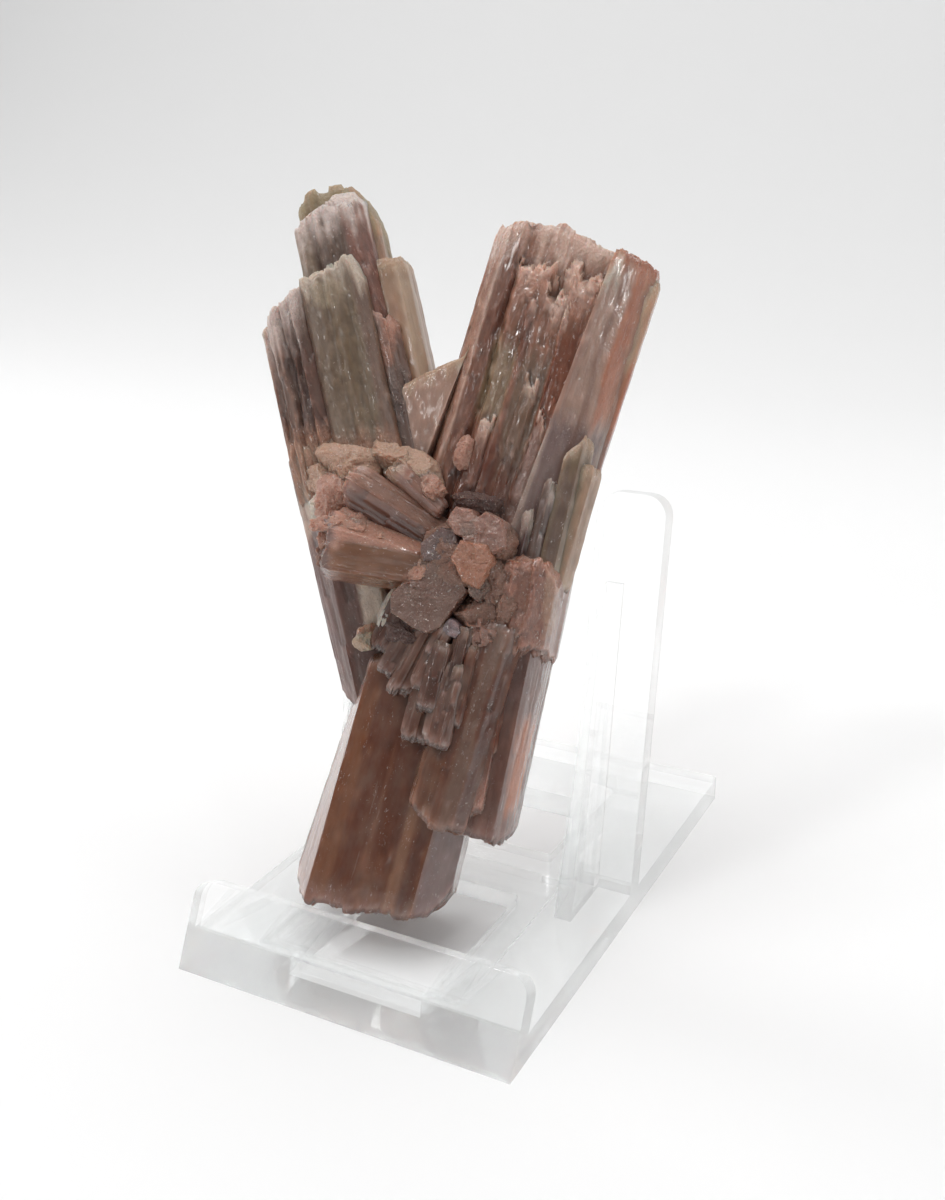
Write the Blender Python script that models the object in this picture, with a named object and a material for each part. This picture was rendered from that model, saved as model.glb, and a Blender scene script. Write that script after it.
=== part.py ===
"""Twinned aragonite crystal group leaning in a clear moulded display stand.

Metres, +Z up, the stand's front lip towards -Y. The origin is the centre of the
stand's base underside. Two solids: the one-piece stand, and the crystal group
as one grown-together solid.
"""
import math
import random

import bmesh
import bpy
from mathutils import Matrix, Vector

for ob in list(bpy.data.objects):
    bpy.data.objects.remove(ob, do_unlink=True)

MM = 0.001

# Stand
BASE_W = 40.0 * MM          # across, left to right
BASE_D = 65.6 * MM          # front to back
BASE_T = 3.0 * MM           # base plate thickness
LIP_T = 2.4 * MM            # front lip thickness
LIP_SLANT = 10.0 * MM       # lip height along its own lean
LIP_LEAN = 25.0             # degrees, top towards the back
LIP_CORNER_R = 2.0 * MM
POST_Y = 31.8 * MM          # post front face at its foot, from the base's front edge
POST_W = 7.9 * MM
POST_T = 2.6 * MM
POST_SLANT = 46.2 * MM
POST_LEAN = 7.6             # degrees, top towards the back
POST_CORNER_R = 2.4 * MM
RIB_X = 4.0 * MM            # rib's outer side, from the base's side
RIB_T = 2.0 * MM
RIB_SLANT = 36.2 * MM       # rib height up the post
RIB_FOOT = 8.4 * MM         # rib depth at the base
RIB_TOP = 2.1 * MM          # rib depth at its top
RIB_TOP_CHAMFER = 1.3 * MM
LEDGE_X = 8.0 * MM          # thinner ledge round the front window, from the base's side
LEDGE_DROP = 0.9 * MM
LEDGE_Y0, LEDGE_Y1 = 5.6 * MM, 31.0 * MM
WINDOW_X = 12.0 * MM
WINDOW_Y0, WINDOW_Y1 = 5.6 * MM, 27.2 * MM
REAR_Y0, REAR_Y1 = 36.0 * MM, 50.8 * MM
REAR_CORNER_R = 4.5 * MM

# Crystal group: its own frame is (a across, b up the lean, c towards the front).
GROUP_AT = Vector((-4.75, -16.6, 3.0)) * MM
GROUP_TURN = 15.0           # degrees about the upright
GROUP_LEAN = 20.0           # degrees, top towards the back
SEAT_GAP = 0.3 * MM         # clearance over the base plate
RIGHT_TILT = 13.0           # degrees: the long individual, top towards the right
LEFT_TILT = -17.0           # degrees: the crossing individual, top towards the left

CLEAR = (0.93, 0.95, 0.95, 1.0)
BROWN = (0.26, 0.13, 0.095, 1.0)


def material(name, colour, roughness, clear=0.0):
    mat = bpy.data.materials.new(name)
    mat.use_nodes = True
    shader = mat.node_tree.nodes["Principled BSDF"]
    shader.inputs["Base Color"].default_value = colour
    shader.inputs["Roughness"].default_value = roughness
    shader.inputs["Transmission Weight"].default_value = clear
    mat.diffuse_color = colour
    return mat


def solid(name, points, faces):
    """A closed mesh object with outward faces."""
    bm = bmesh.new()
    verts = [bm.verts.new(p) for p in points]
    for face in faces:
        bm.faces.new([verts[i] for i in face])
    bmesh.ops.recalc_face_normals(bm, faces=bm.faces)
    mesh = bpy.data.meshes.new(name)
    bm.to_mesh(mesh)
    bm.free()
    ob = bpy.data.objects.new(name, mesh)
    bpy.context.scene.collection.objects.link(ob)
    return ob


def extrusion(name, outline, depth):
    """A flat outline, a list of 3-D points, pushed along the vector depth."""
    n = len(outline)
    points = [Vector(p) for p in outline] + [Vector(p) + depth for p in outline]
    faces = [tuple(range(n)), tuple(range(2 * n - 1, n - 1, -1))]
    faces += [(i, (i + 1) % n, n + (i + 1) % n, n + i) for i in range(n)]
    return solid(name, points, faces)


def rounded(x0, x1, y0, y1, radii, steps=6):
    """Corner points of a rectangle, counter-clockwise from (x0, y0), each corner with its radius."""
    spots = ((x0, y0, 1, 1, 180), (x1, y0, -1, 1, 270), (x1, y1, -1, -1, 0), (x0, y1, 1, -1, 90))
    out = []
    for (x, y, sx, sy, start), r in zip(spots, radii):
        if r <= 0:
            out.append((x, y))
            continue
        for k in range(steps + 1):
            t = math.radians(start + 90.0 * k / steps)
            out.append((x + sx * r + r * math.cos(t), y + sy * r + r * math.sin(t)))
    return out


def combine(target, others, operation):
    """One exact boolean per piece, applied, and the pieces removed."""
    for other in others:
        mod = target.modifiers.new("combine", "BOOLEAN")
        mod.operation = operation
        mod.solver = "EXACT"
        mod.object = other
        graph = bpy.context.evaluated_depsgraph_get()
        mesh = bpy.data.meshes.new_from_object(target.evaluated_get(graph))
        target.modifiers.remove(mod)
        target.data = mesh
        bpy.data.objects.remove(other, do_unlink=True)
    return target


def stand_x(from_left):
    return from_left - BASE_W / 2


def stand_y(from_front):
    return from_front - BASE_D / 2


def leaning(x0, x1, foot_y, foot_z, slant, lean, thick, corners):
    """A plate that stands on the base and leans back: rounded outline in its own plane."""
    s, c = math.sin(math.radians(lean)), math.cos(math.radians(lean))
    sunk = 1.2 * MM if foot_z > 0 else 0.0
    flat = rounded(x0, x1, -sunk, slant, corners)
    points = [(x, stand_y(foot_y) + u * s, foot_z + u * c) for x, u in flat]
    return extrusion("plate", points, Vector((0, thick * c, -thick * s)))


# The stand: base plate, lip, two posts and their ribs in one moulding.
base = extrusion(
    "display_stand",
    [(x, y, 0) for x, y in rounded(stand_x(0), stand_x(BASE_W), stand_y(0), stand_y(BASE_D), (0, 0, 0.6 * MM, 0.6 * MM), 3)],
    Vector((0, 0, BASE_T)),
)
lip = leaning(stand_x(0), stand_x(BASE_W), 0.0, 0.0, LIP_SLANT, LIP_LEAN, LIP_T, (0, 0, LIP_CORNER_R, LIP_CORNER_R))
# The lip's foot is cut level with the underside.
under = extrusion(
    "cut",
    [(stand_x(-5 * MM), stand_y(-5 * MM), -6 * MM), (stand_x(45 * MM), stand_y(-5 * MM), -6 * MM),
     (stand_x(45 * MM), stand_y(20 * MM), -6 * MM), (stand_x(-5 * MM), stand_y(20 * MM), -6 * MM)],
    Vector((0, 0, 6 * MM)),
)
combine(lip, [under], "DIFFERENCE")
# The base's front edge follows the lip's lean.
s, c = math.sin(math.radians(LIP_LEAN)), math.cos(math.radians(LIP_LEAN))
front_cut = extrusion(
    "cut",
    [(stand_x(-1 * MM), stand_y(-1 * MM), -1 * MM), (stand_x(-1 * MM), stand_y(-1 * MM * s / c), -1 * MM),
     (stand_x(-1 * MM), stand_y(4 * MM * s / c), 4 * MM), (stand_x(-1 * MM), stand_y(-1 * MM), 4 * MM)],
    Vector((BASE_W + 2 * MM, 0, 0)),
)
combine(base, [front_cut], "DIFFERENCE")
ledge = extrusion(
    "cut",
    [(x, y, BASE_T - LEDGE_DROP) for x, y in
     rounded(stand_x(LEDGE_X), stand_x(BASE_W - LEDGE_X), stand_y(LEDGE_Y0), stand_y(LEDGE_Y1), (0, 0, 0.8 * MM, 0.8 * MM), 3)],
    Vector((0, 0, 2 * MM)),
)
window = extrusion(
    "cut",
    [(x, y, -1 * MM) for x, y in
     rounded(stand_x(WINDOW_X), stand_x(BASE_W - WINDOW_X), stand_y(WINDOW_Y0), stand_y(WINDOW_Y1), (0, 0, 0.5 * MM, 0.5 * MM), 3)],
    Vector((0, 0, 6 * MM)),
)
rear = extrusion(
    "cut",
    [(x, y, -1 * MM) for x, y in
     rounded(stand_x(WINDOW_X), stand_x(BASE_W - WINDOW_X), stand_y(REAR_Y0), stand_y(REAR_Y1),
             (0.5 * MM, 0.5 * MM, REAR_CORNER_R, REAR_CORNER_R))],
    Vector((0, 0, 6 * MM)),
)
combine(base, [ledge, window, rear], "DIFFERENCE")

posts = []
for x0, rib_x0 in ((0.0, RIB_X), (BASE_W - POST_W, BASE_W - RIB_X - RIB_T)):
    posts.append(leaning(
        stand_x(x0), stand_x(x0 + POST_W), POST_Y, BASE_T, POST_SLANT, POST_LEAN, POST_T,
        (0, 0, POST_CORNER_R, POST_CORNER_R)))
    s, c = math.sin(math.radians(POST_LEAN)), math.cos(math.radians(POST_LEAN))

    def on_post(u, depth):
        return (stand_x(rib_x0), stand_y(POST_Y) + u * s - depth * c, BASE_T + u * c + depth * s)

    foot = Vector(on_post(0, RIB_FOOT))
    foot.z = BASE_T - 0.6 * MM
    heel = Vector(on_post(0, -1.0 * MM))
    heel.z = BASE_T - 0.6 * MM
    side = [foot, Vector(on_post(RIB_SLANT - RIB_TOP_CHAMFER, RIB_TOP)),
            Vector(on_post(RIB_SLANT - 0.4 * MM, RIB_TOP - RIB_TOP_CHAMFER * 0.6)),
            Vector(on_post(RIB_SLANT, RIB_TOP - RIB_TOP_CHAMFER)), Vector(on_post(RIB_SLANT, -1.0 * MM)), heel]
    posts.append(extrusion("rib", side, Vector((RIB_T, 0, 0))))
combine(base, [lip] + posts, "UNION")
base.data.materials.clear()
base.data.materials.append(material("clear_plastic", CLEAR, 0.05, 1.0))

# The crystal group.
turn = Matrix.Rotation(math.radians(GROUP_TURN), 3, "Z") @ Matrix.Rotation(math.radians(-GROUP_LEAN), 3, "X")


def placed(a, b, c):
    """A point of the group's own frame, in mm, in the object's frame."""
    return GROUP_AT + turn @ (Vector((a, -c, b)) * MM)


def crystal(foot, head, section, head_section=None, cuts=()):
    """A prism from foot to head, each (a, b, c) in mm.

    section is the outline round the axis, (right, front) in mm. Each cut is a point
    and an outward direction, both (a, b, c): what lies beyond it is removed.
    """
    foot, head = Vector(foot), Vector(head)
    axis = (head - foot).normalized()
    right = axis.cross(Vector((0, 0, 1)))
    if right.length < 0.3:
        right = Vector((1, 0, 0))
    right.normalize()
    front = right.cross(axis)
    bm = bmesh.new()
    low = [bm.verts.new(foot + right * p + front * q) for p, q in section]
    high = [bm.verts.new(head + right * p + front * q) for p, q in (head_section or section)]
    n = len(section)
    bm.faces.new(low)
    bm.faces.new(high[::-1])
    for i in range(n):
        bm.faces.new((low[i], low[(i + 1) % n], high[(i + 1) % n], high[i]))
    for at, out in cuts:
        bmesh.ops.bisect_plane(
            bm, geom=bm.verts[:] + bm.edges[:] + bm.faces[:], dist=1e-5, plane_co=at, plane_no=out, clear_outer=True)
        bmesh.ops.holes_fill(bm, edges=[e for e in bm.edges if e.is_boundary])
    for v in bm.verts:
        v.co = placed(*v.co)
    bmesh.ops.recalc_face_normals(bm, faces=bm.faces)
    bmesh.ops.triangulate(bm, faces=[f for f in bm.faces if len(f.verts) > 4])
    mesh = bpy.data.meshes.new("crystal")
    bm.to_mesh(mesh)
    bm.free()
    ob = bpy.data.objects.new("crystal", mesh)
    bpy.context.scene.collection.objects.link(ob)
    return ob


def lump(at, size, seed, turn_deg=0.0):
    """A small rough lump, half-axes (a, b, c) in mm."""
    rng = random.Random(seed)
    bm = bmesh.new()
    bmesh.ops.create_icosphere(bm, subdivisions=2, radius=1.0)
    spin = Matrix.Rotation(math.radians(turn_deg), 3, "Z")
    for v in bm.verts:
        p = Vector(v.co) * (1.0 + rng.uniform(-0.1, 0.1))
        p = spin @ Vector((p.x * size[0], p.y * size[1], p.z * size[2]))
        v.co = placed(*(Vector(at) + p))
    bmesh.ops.recalc_face_normals(bm, faces=bm.faces)
    mesh = bpy.data.meshes.new("lump")
    bm.to_mesh(mesh)
    bm.free()
    ob = bpy.data.objects.new("lump", mesh)
    bpy.context.scene.collection.objects.link(ob)
    return ob


def on_axis(tilt, b, s, base_a, base_b):
    """a of the point that is s across from a tilted line, at height b."""
    t = math.radians(tilt)
    return base_a + math.tan(t) * (b - base_b) + s / math.cos(t)


def right_a(b, s=0.0):
    return on_axis(RIGHT_TILT, b, s, 15.3, 74.5)


def left_a(b, s=0.0):
    return on_axis(LEFT_TILT, b, s, -8.0, 68.0)


def column(line, low_b, high_b, s0, s1, back, front, bevel=(0.8, 0.8), cuts=(), shift=0.0):
    """A long crystal of one individual, between s0 and s1 across, with bevelled front edges."""
    mid, half = (s0 + s1) / 2, (s1 - s0) / 2
    l, r = bevel
    section = [(-half, back + 0.8), (-half + 0.8, back), (half - 0.8, back), (half, back + 0.8),
               (half, front - r), (half - r * 0.8, front), (-half + l * 0.8, front), (-half, front - l)]
    return crystal((line(low_b, mid + shift), low_b, 0), (line(high_b, mid), high_b, 0), section, cuts=cuts)


group = []

# The long individual: back core, then the columns of its upper right arm.
group.append(crystal(
    (right_a(3.0, 0.3), 3.0, 0), (right_a(78.0), 78.0, 0),
    [(-7.2, -3.0), (-5.4, -6.6), (4.8, -6.8), (8.4, -4.4), (8.4, 1.5), (5.0, 3.2), (-5.0, 3.6), (-7.2, 1.4)],
    cuts=[((8.5, 76.9, 0), (0.06, 1, 0.0)), ((17.0, 76.0, 0), (0.42, 1, -0.05))],
))
group.append(column(right_a, 44, 77.0, -6.9, -2.2, -2, 5.6, (3.6, 0.8), cuts=[((10.7, 75.2, 5), (-0.05, 1, 0.3))]))
group.append(column(right_a, 44, 71.0, -3.0, 1.3, -2, 4.9, (0.6, 0.7), cuts=[((13, 70.6, 5), (0.1, 1, 0.5))]))
group.append(column(right_a, 42, 71.2, 0.9, 4.3, -2, 5.9, (0.9, 0.6), cuts=[((15, 70.2, 6), (-0.1, 1, 0.4))]))
group.append(column(right_a, 42, 68.5, 3.8, 6.2, -2, 5.2, (0.5, 0.6), cuts=[((18, 68.0, 5), (0.3, 1, 0.5))]))
group.append(column(right_a, 42, 70.5, 5.6, 8.2, -2, 5.7, (0.6, 0.9), cuts=[((20.5, 69.8, 5), (0.1, 1, 0.5))]))
group.append(crystal(
    (right_a(41, 9.6), 41, 0), (right_a(76, 9.6), 76, 0),
    [(-2.6, -5.6), (1.0, -4.8), (2.1, -1.8), (2.1, 1.6), (0.4, 4.2), (-2.6, 5.4)],
    cuts=[((24.0, 74.0, 2), (0.5, 1, 0.1)), ((19.6, 73.9, 3), (-0.4, 1, 0.2))],
))
group.append(crystal(
    (right_a(41, 10.6), 41, 0), (right_a(73.0, 11.2), 73.0, 0),
    [(-2.2, -4.2), (-0.2, -3.4), (1.0, -0.6), (1.1, 1.2), (-0.4, 2.8), (-2.2, 2.6)],
    cuts=[((25.4, 72.6, 1), (0.6, 1, 0.1))],
))
# Stepped prisms on the arm's right side.
group.append(crystal(
    (17.6, 38, 3.2), (20.4, 55.4, 3.2), [(-1.6, -1.5), (1.2, -1.8), (1.5, 0.4), (0.5, 2.2), (-1.3, 2.4)],
    cuts=[((19.0, 52.4, 4), (-0.9, 1, 0)), ((21.0, 54.0, 4), (0.9, 1, 0))],
))
group.append(crystal(
    (18.3, 37, 2.4), (21.2, 51.2, 2.4), [(-1.8, -2.6), (0.7, -2.2), (1.45, 0.2), (0.7, 2.0), (-1.6, 2.6)],
    cuts=[((20.2, 51.2, 2), (-0.5, 1, 0.1)), ((22.2, 50.7, 2), (0.25, 1, 0))],
))

# Its lower left foot.
group.append(crystal(
    (-0.9, -2.0, 0), (5.9, 30.4, 0),
    [(-9.9, 0.2), (-6.4, 5.9), (-2.0, 6.6), (2.2, 6.2), (5.8, 6.9), (9.0, 2.6), (8.4, -4.8), (4.0, -6.8), (-5.8, -6.2)],
    [(-8.0, 0.6), (-6.3, 6.1), (-2.0, 6.6), (2.0, 6.2), (5.6, 6.8), (7.6, 3.0), (7.0, -4.8), (4.0, -6.6), (-5.8, -5.8)],
    cuts=[((-1.4, 28.6, 6), (-0.35, 1, 0.4)), ((-10.2, 7.3, 0), (-1, -0.12, 0)), ((-9.6, 2.2, 6), (-0.62, -1, 0.1)),
          ((-5.9, 0.4, 6), (-0.02, -1, 0)), ((7.0, 0.4, 6), (0.9, -1, 0)), ((8.6, 2.6, 6), (1, -0.55, 0.1))],
))
# Its lower right part: a front prism, a side prism and the body above them.
group.append(crystal(
    (6.9, 9.0, 0), (12.6, 34.0, 0), [(-3.6, 0), (-3.4, 6.4), (-2.4, 8.0), (2.2, 8.4), (3.7, 6.6), (3.7, 0)],
    cuts=[((4.5, 12.8, 7), (-0.8, -1, 0)), ((7.0, 10.5, 7), (-0.15, -1, 0.15)), ((10, 34, 8), (0, 1, 0.8))],
))
group.append(crystal(
    (12.1, 6.0, 0), (16.6, 40.5, 0),
    [(-3.4, -5.6), (1.2, -5.2), (2.5, -2.6), (2.3, 2.6), (1.2, 6.0), (-3.2, 6.8)],
    [(-4.4, -5.6), (1.4, -5.2), (2.9, -2.6), (2.7, 2.6), (1.4, 6.4), (-4.2, 6.8)],
    cuts=[((11.0, 9.7, 5), (-0.25, -1, 0.05)), ((14.2, 8.9, 4), (0.7, -1, 0))],
))
group.append(crystal(
    (11.4, 10.6, 0), (14.0, 31.0, 0), [(-1.0, 3.0), (-0.8, 7.2), (0.9, 7.6), (1.4, 3.0)],
    cuts=[((11.2, 11.6, 6), (0.2, -1, 0.3))],
))
group.append(crystal(
    (15.3, 28.6, 0), (17.0, 41.0, 0), [(-3.6, -4.0), (2.6, -3.6), (3.2, 1.0), (2.4, 6.6), (0.4, 8.2), (-3.4, 8.0)],
    cuts=[((15.7, 29.9, 8), (0.35, -1, 0.45)), ((16, 40.2, 8), (0.0, 1, 0.35)), ((19.3, 38.3, 6), (1, 0.5, 0.2))],
))

# The crossing individual: back blade, middle crystal, front prisms, side prism, lower end.
group.append(column(left_a, 46, 84, -4.2, 4.9, -6.0, 0.4, (0.8, 0.8), cuts=[
    ((-14.5, 81.7, 0), (-0.8, 1, 0)), ((-9.5, 82.6, 0), (-0.18, 1, 0)), ((-7.6, 81.3, 0), (0.75, 1, 0)),
    ((-6.0, 78.6, 0), (1, 0.62, 0))]))
group.append(column(left_a, 46, 81, -4.6, 4.3, -2.0, 2.9, (1.2, 1.2), cuts=[
    ((-13.2, 78.2, 3), (-0.8, 1, 0.25)), ((-8.0, 79.6, 3), (-0.1, 1, 0.35)), ((-6.3, 78.6, 3), (0.9, 1, 0.2))]))
group.append(crystal(
    (left_a(45, -7.6), 45, 0), (left_a(71, -7.6), 71, 0),
    [(-3.5, -4.6), (2.4, -5.4), (4.0, 3.4), (2.0, 4.8), (-0.6, 4.4), (-2.8, 2.6), (-3.6, 0.2)],
    cuts=[((-18.6, 64.4, 3), (-1.2, 1, 0)), ((-15.3, 69.0, 4), (-0.5, 1, 0.3)), ((-11.6, 70.6, 4), (-0.1, 1, 0.35))],
))
group.append(column(left_a, 45, 74, -4.6, 0.4, -3, 5.4, (0.7, 0.4), cuts=[
    ((-9.4, 71.8, 5), (-0.6, 1, 0.3)), ((-7.9, 72.9, 5), (0.3, 1, 0.3))]))
group.append(column(left_a, 45, 72, 0.2, 3.0, -3, 5.2, (0.3, 0.9), cuts=[
    ((-7.0, 71.4, 5), (0.8, 1, 0.3)), ((-4.7, 69.0, 5), (1.0, 1, 0.3))]))
group.append(column(left_a, 47, 67.5, 2.4, 5.4, -3, 3.9, (0.4, 1.8), cuts=[((-3.8, 67.0, 3), (0.6, 1, 0.4))]))
group.append(column(left_a, 50, 74.2, 3.6, 7.3, -4.6, 1.4, (0.5, 1.2), cuts=[
    ((-3.3, 74.0, 1), (-0.2, 1, 0.1)), ((-2.0, 73.6, 1), (0.6, 1, 0.1))]))
group.append(crystal(
    (left_a(20.5, -6.8), 20.5, 0), (left_a(52, -6.6), 52, 0),
    [(-3.4, -4.6), (6.0, -5.6), (8.0, 1.0), (4.0, 4.2), (-1.2, 3.8), (-3.6, 1.2)],
    [(-4.5, -4.6), (6.0, -5.6), (8.0, 1.0), (4.0, 4.8), (-1.8, 4.4), (-4.6, 1.2)],
    cuts=[((-4.6, 23.0, 2), (-0.5, -1, 0)), ((-2.0, 21.6, 2), (0.1, -1, -0.2))],
))

# The pale blade between the arms.
group.append(crystal(
    (2.6, 49.0, 0.8), (3.0, 64.0, 0.8), [(-3.4, -2.6), (4.6, -3.0), (4.6, 2.0), (2.0, 2.8), (-3.4, 2.4)],
    cuts=[((-0.2, 59.4, 2), (-0.46, 1, 0.1)), ((6.4, 62.8, 2), (0.75, 1, 0)), ((5.9, 60.5, 2), (1, -0.3, 0))],
))

# The centre: end-on crystals and plates over a crusted core.
group.append(crystal(
    (5.5, 41.5, 4.0), (-5.6, 47.8, 9.4), [(-2.6, -1.8), (-0.4, -2.6), (2.0, -1.6), (2.6, 0.8), (0.6, 2.4), (-2.0, 1.4)],
    cuts=[((-4.6, 47.9, 9), (-1, 0.35, 0.25))],
))
group.append(crystal(
    (6.0, 37.8, 4.0), (-6.9, 39.6, 10.6), [(-2.8, -1.6), (-0.6, -2.9), (2.2, -2.2), (3.0, 0.4), (1.4, 2.6), (-1.6, 2.4)],
    cuts=[((-6.5, 38.8, 10.5), (-1, 0.1, 0.15))],
))
for (a, b, c), r, turned in (
    ((6.5, 40.9, 9.6), 2.2, 10), ((8.9, 43.7, 9.9), 1.6, 0), ((11.2, 42.6, 10.2), 2.3, 22), ((10.3, 39.3, 11.0), 2.5, 5),
    ((10.9, 37.0, 9.8), 1.45, 15), ((8.3, 32.2, 9.2), 1.3, 8),
):
    ring = [(r * math.cos(math.radians(60 * k + turned)), r * math.sin(math.radians(60 * k + turned))) for k in range(6)]
    group.append(crystal((a + 0.4, b - 0.2, 2.0), (a, b, c), ring))
plate = [(1.6, 35.8), (5.0, 39.2), (8.4, 38.6), (9.9, 36.0), (8.2, 33.7), (5.8, 31.7), (3.1, 32.5), (1.7, 33.8)]
group.append(crystal((5.4, 35.2, 3.0), (5.4, 35.2, 9.4), [(a - 5.4, 35.2 - b) for a, b in plate]))
rough = [(9.3, 34.2), (12.9, 35.0), (13.4, 31.2), (11.0, 30.2), (9.6, 31.4)]
group.append(crystal((11.2, 32.6, 3.0), (11.2, 32.6, 8.8), [(a - 11.2, 32.6 - b) for a, b in rough]))
# Short prisms below the centre.
for a0, b0, a1, b1, w, f in (
    (2.0, 23.6, 3.8, 33.0, 1.3, 8.0), (4.2, 23.2, 6.0, 33.0, 1.2, 8.8), (6.4, 25.2, 8.0, 33.0, 1.1, 9.0),
    (8.0, 24.8, 9.6, 33.0, 1.0, 8.4), (4.7, 19.4, 6.4, 29.0, 1.5, 8.2), (7.4, 19.2, 8.9, 29.0, 1.5, 9.4),
    (9.2, 21.2, 10.8, 31.0, 0.9, 8.6), (10.4, 22.0, 12.0, 31.0, 0.8, 8.0), (-0.2, 28.6, 2.4, 36.0, 1.7, 7.2),
):
    group.append(crystal(
        (a0, b0, 0), (a1, b1, 0), [(-w, 1.0), (-w * 0.9, f - 0.7), (-w * 0.3, f), (w * 0.7, f - 0.2), (w, f - 1.0), (w, 1.0)],
        cuts=[((a0, b0 + 0.25, f), (-0.3, -1, 0.3))],
    ))
for at, size, seed, spin in (
    ((-5.2, 49.6, 3.8), (5.0, 2.9, 3.8), 3, -8), ((1.4, 49.4, 4.2), (3.8, 2.3, 3.6), 5, -22),
    ((-6.1, 44.4, 4.4), (2.9, 4.0, 3.6), 7, 20), ((7.4, 51.4, 4.6), (1.0, 1.9, 2.0), 11, -10),
    ((2.0, 44.6, 3.6), (4.6, 3.6, 3.6), 13, -30), ((-1.6, 30.6, 3.8), (1.8, 1.6, 3.0), 17, 0),
    ((-4.4, 41.6, 6.6), (3.4, 1.9, 3.6), 23, 12), ((13.6, 39.4, 3.6), (2.4, 2.6, 3.6), 29, 0),
):
    group.append(lump(at, size, seed, spin))

aragonite = group[0]
aragonite.name = "aragonite_group"
combine(aragonite, group[1:], "UNION")
# Broken foot, level just over the base plate.
floor_z = BASE_T + SEAT_GAP
below = extrusion(
    "cut", [(-40 * MM, -50 * MM, -10 * MM), (50 * MM, -50 * MM, -10 * MM), (50 * MM, 40 * MM, -10 * MM), (-40 * MM, 40 * MM, -10 * MM)],
    Vector((0, 0, 10 * MM + floor_z)),
)
combine(aragonite, [below], "DIFFERENCE")
aragonite.data.materials.clear()
aragonite.data.materials.append(material("aragonite", BROWN, 0.5))

for ob in (base, aragonite):
    bm = bmesh.new()
    bm.from_mesh(ob.data)
    bmesh.ops.remove_doubles(bm, verts=bm.verts, dist=0.00001)
    bmesh.ops.dissolve_degenerate(bm, edges=bm.edges, dist=0.000008)
    # Pinched-off slivers inside the group go.
    left = set(bm.verts)
    while left:
        patch, edge = set(), [left.pop()]
        while edge:
            v = edge.pop()
            patch.add(v)
            for e in v.link_edges:
                other = e.other_vert(v)
                if other in left:
                    left.remove(other)
                    edge.append(other)
        if len(patch) < 20:
            bmesh.ops.delete(bm, geom=list(patch), context="VERTS")
    bmesh.ops.triangulate(bm, faces=bm.faces)
    bmesh.ops.recalc_face_normals(bm, faces=bm.faces)
    bm.to_mesh(ob.data)
    bm.free()
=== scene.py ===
"""Twinned aragonite leaning in a clear moulded stand: the looks."""
import math

import bmesh
import bpy
import numpy as np
from mathutils import Matrix, Vector


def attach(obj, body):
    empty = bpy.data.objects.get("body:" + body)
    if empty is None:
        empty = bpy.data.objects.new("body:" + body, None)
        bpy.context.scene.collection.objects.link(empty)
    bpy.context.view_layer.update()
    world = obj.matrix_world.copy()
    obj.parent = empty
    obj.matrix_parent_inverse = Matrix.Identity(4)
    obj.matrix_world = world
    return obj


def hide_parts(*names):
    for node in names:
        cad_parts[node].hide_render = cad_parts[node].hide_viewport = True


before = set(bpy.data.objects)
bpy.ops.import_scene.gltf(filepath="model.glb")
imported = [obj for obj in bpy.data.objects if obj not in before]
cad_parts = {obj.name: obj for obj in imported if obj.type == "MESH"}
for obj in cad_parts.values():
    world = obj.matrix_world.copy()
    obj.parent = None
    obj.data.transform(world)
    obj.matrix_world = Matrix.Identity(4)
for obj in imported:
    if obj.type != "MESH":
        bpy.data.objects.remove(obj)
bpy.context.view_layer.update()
MM = 0.001

# The crystal group's own frame: a across, b up its lean, c towards the front, in mm.
GROUP_AT = np.array((-4.75, -16.6, 3.0))
TURNED, LEANING = math.radians(15.0), math.radians(-20.0)
TURN = np.array(Matrix.Rotation(TURNED, 3, "Z") @ Matrix.Rotation(LEANING, 3, "X"))
FLOOR_Z = 3.3               # the broken foot ends just over the base plate


def to_world(p):
    """Points (a, b, c) in mm to metres in the object's frame."""
    p = np.asarray(p, float)
    return (GROUP_AT + np.stack((p[:, 0], -p[:, 2], p[:, 1]), 1) @ TURN.T) * MM


# Noise, all of it seeded. These multipliers only stir the bits.
STIR_X, STIR_Y, STIR_Z, STIR_SEED = 374761393, 668265263, 2147483647, 1274126177
STIR_ONCE, STIR_TWICE = 1103515245, 2654435761
ALL_BITS, TOP_BITS = 0xFFFFFFFF, 0xFFFFFF


def hashed(ix, iy, iz, seed):
    """A value for each cell of a grid, 0 to 1."""
    h = (ix * STIR_X + iy * STIR_Y + iz * STIR_Z + seed * STIR_SEED) & ALL_BITS
    h = ((h ^ (h >> 13)) * STIR_ONCE) & ALL_BITS
    h = ((h ^ (h >> 16)) * STIR_TWICE) & ALL_BITS
    return ((h ^ (h >> 15)) & TOP_BITS) / float(TOP_BITS)


def eased(t):
    """0 to 1, slow at both ends."""
    return t * t * (3 - 2 * t)


def noise(x, y, z, seed):
    """Smooth noise, -1 to 1."""
    x, y, z = np.broadcast_arrays(np.asarray(x, float), np.asarray(y, float), np.asarray(z, float))
    fx, fy, fz = np.floor(x), np.floor(y), np.floor(z)
    ix, iy, iz = fx.astype(np.int64), fy.astype(np.int64), fz.astype(np.int64)
    u, v, w = eased(x - fx), eased(y - fy), eased(z - fz)
    total = 0.0
    for dx in (0, 1):
        for dy in (0, 1):
            for dz in (0, 1):
                k = (u if dx else 1 - u) * (v if dy else 1 - v) * (w if dz else 1 - w)
                total = total + k * hashed(ix + dx, iy + dy, iz + dz, seed)
    return total * 2 - 1


def cells(x, y, seed):
    """One value for each cell, 0 to 1: broken plates."""
    layer = np.int64(7)
    return hashed(np.floor(x).astype(np.int64), np.floor(y).astype(np.int64), layer, seed)


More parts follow.
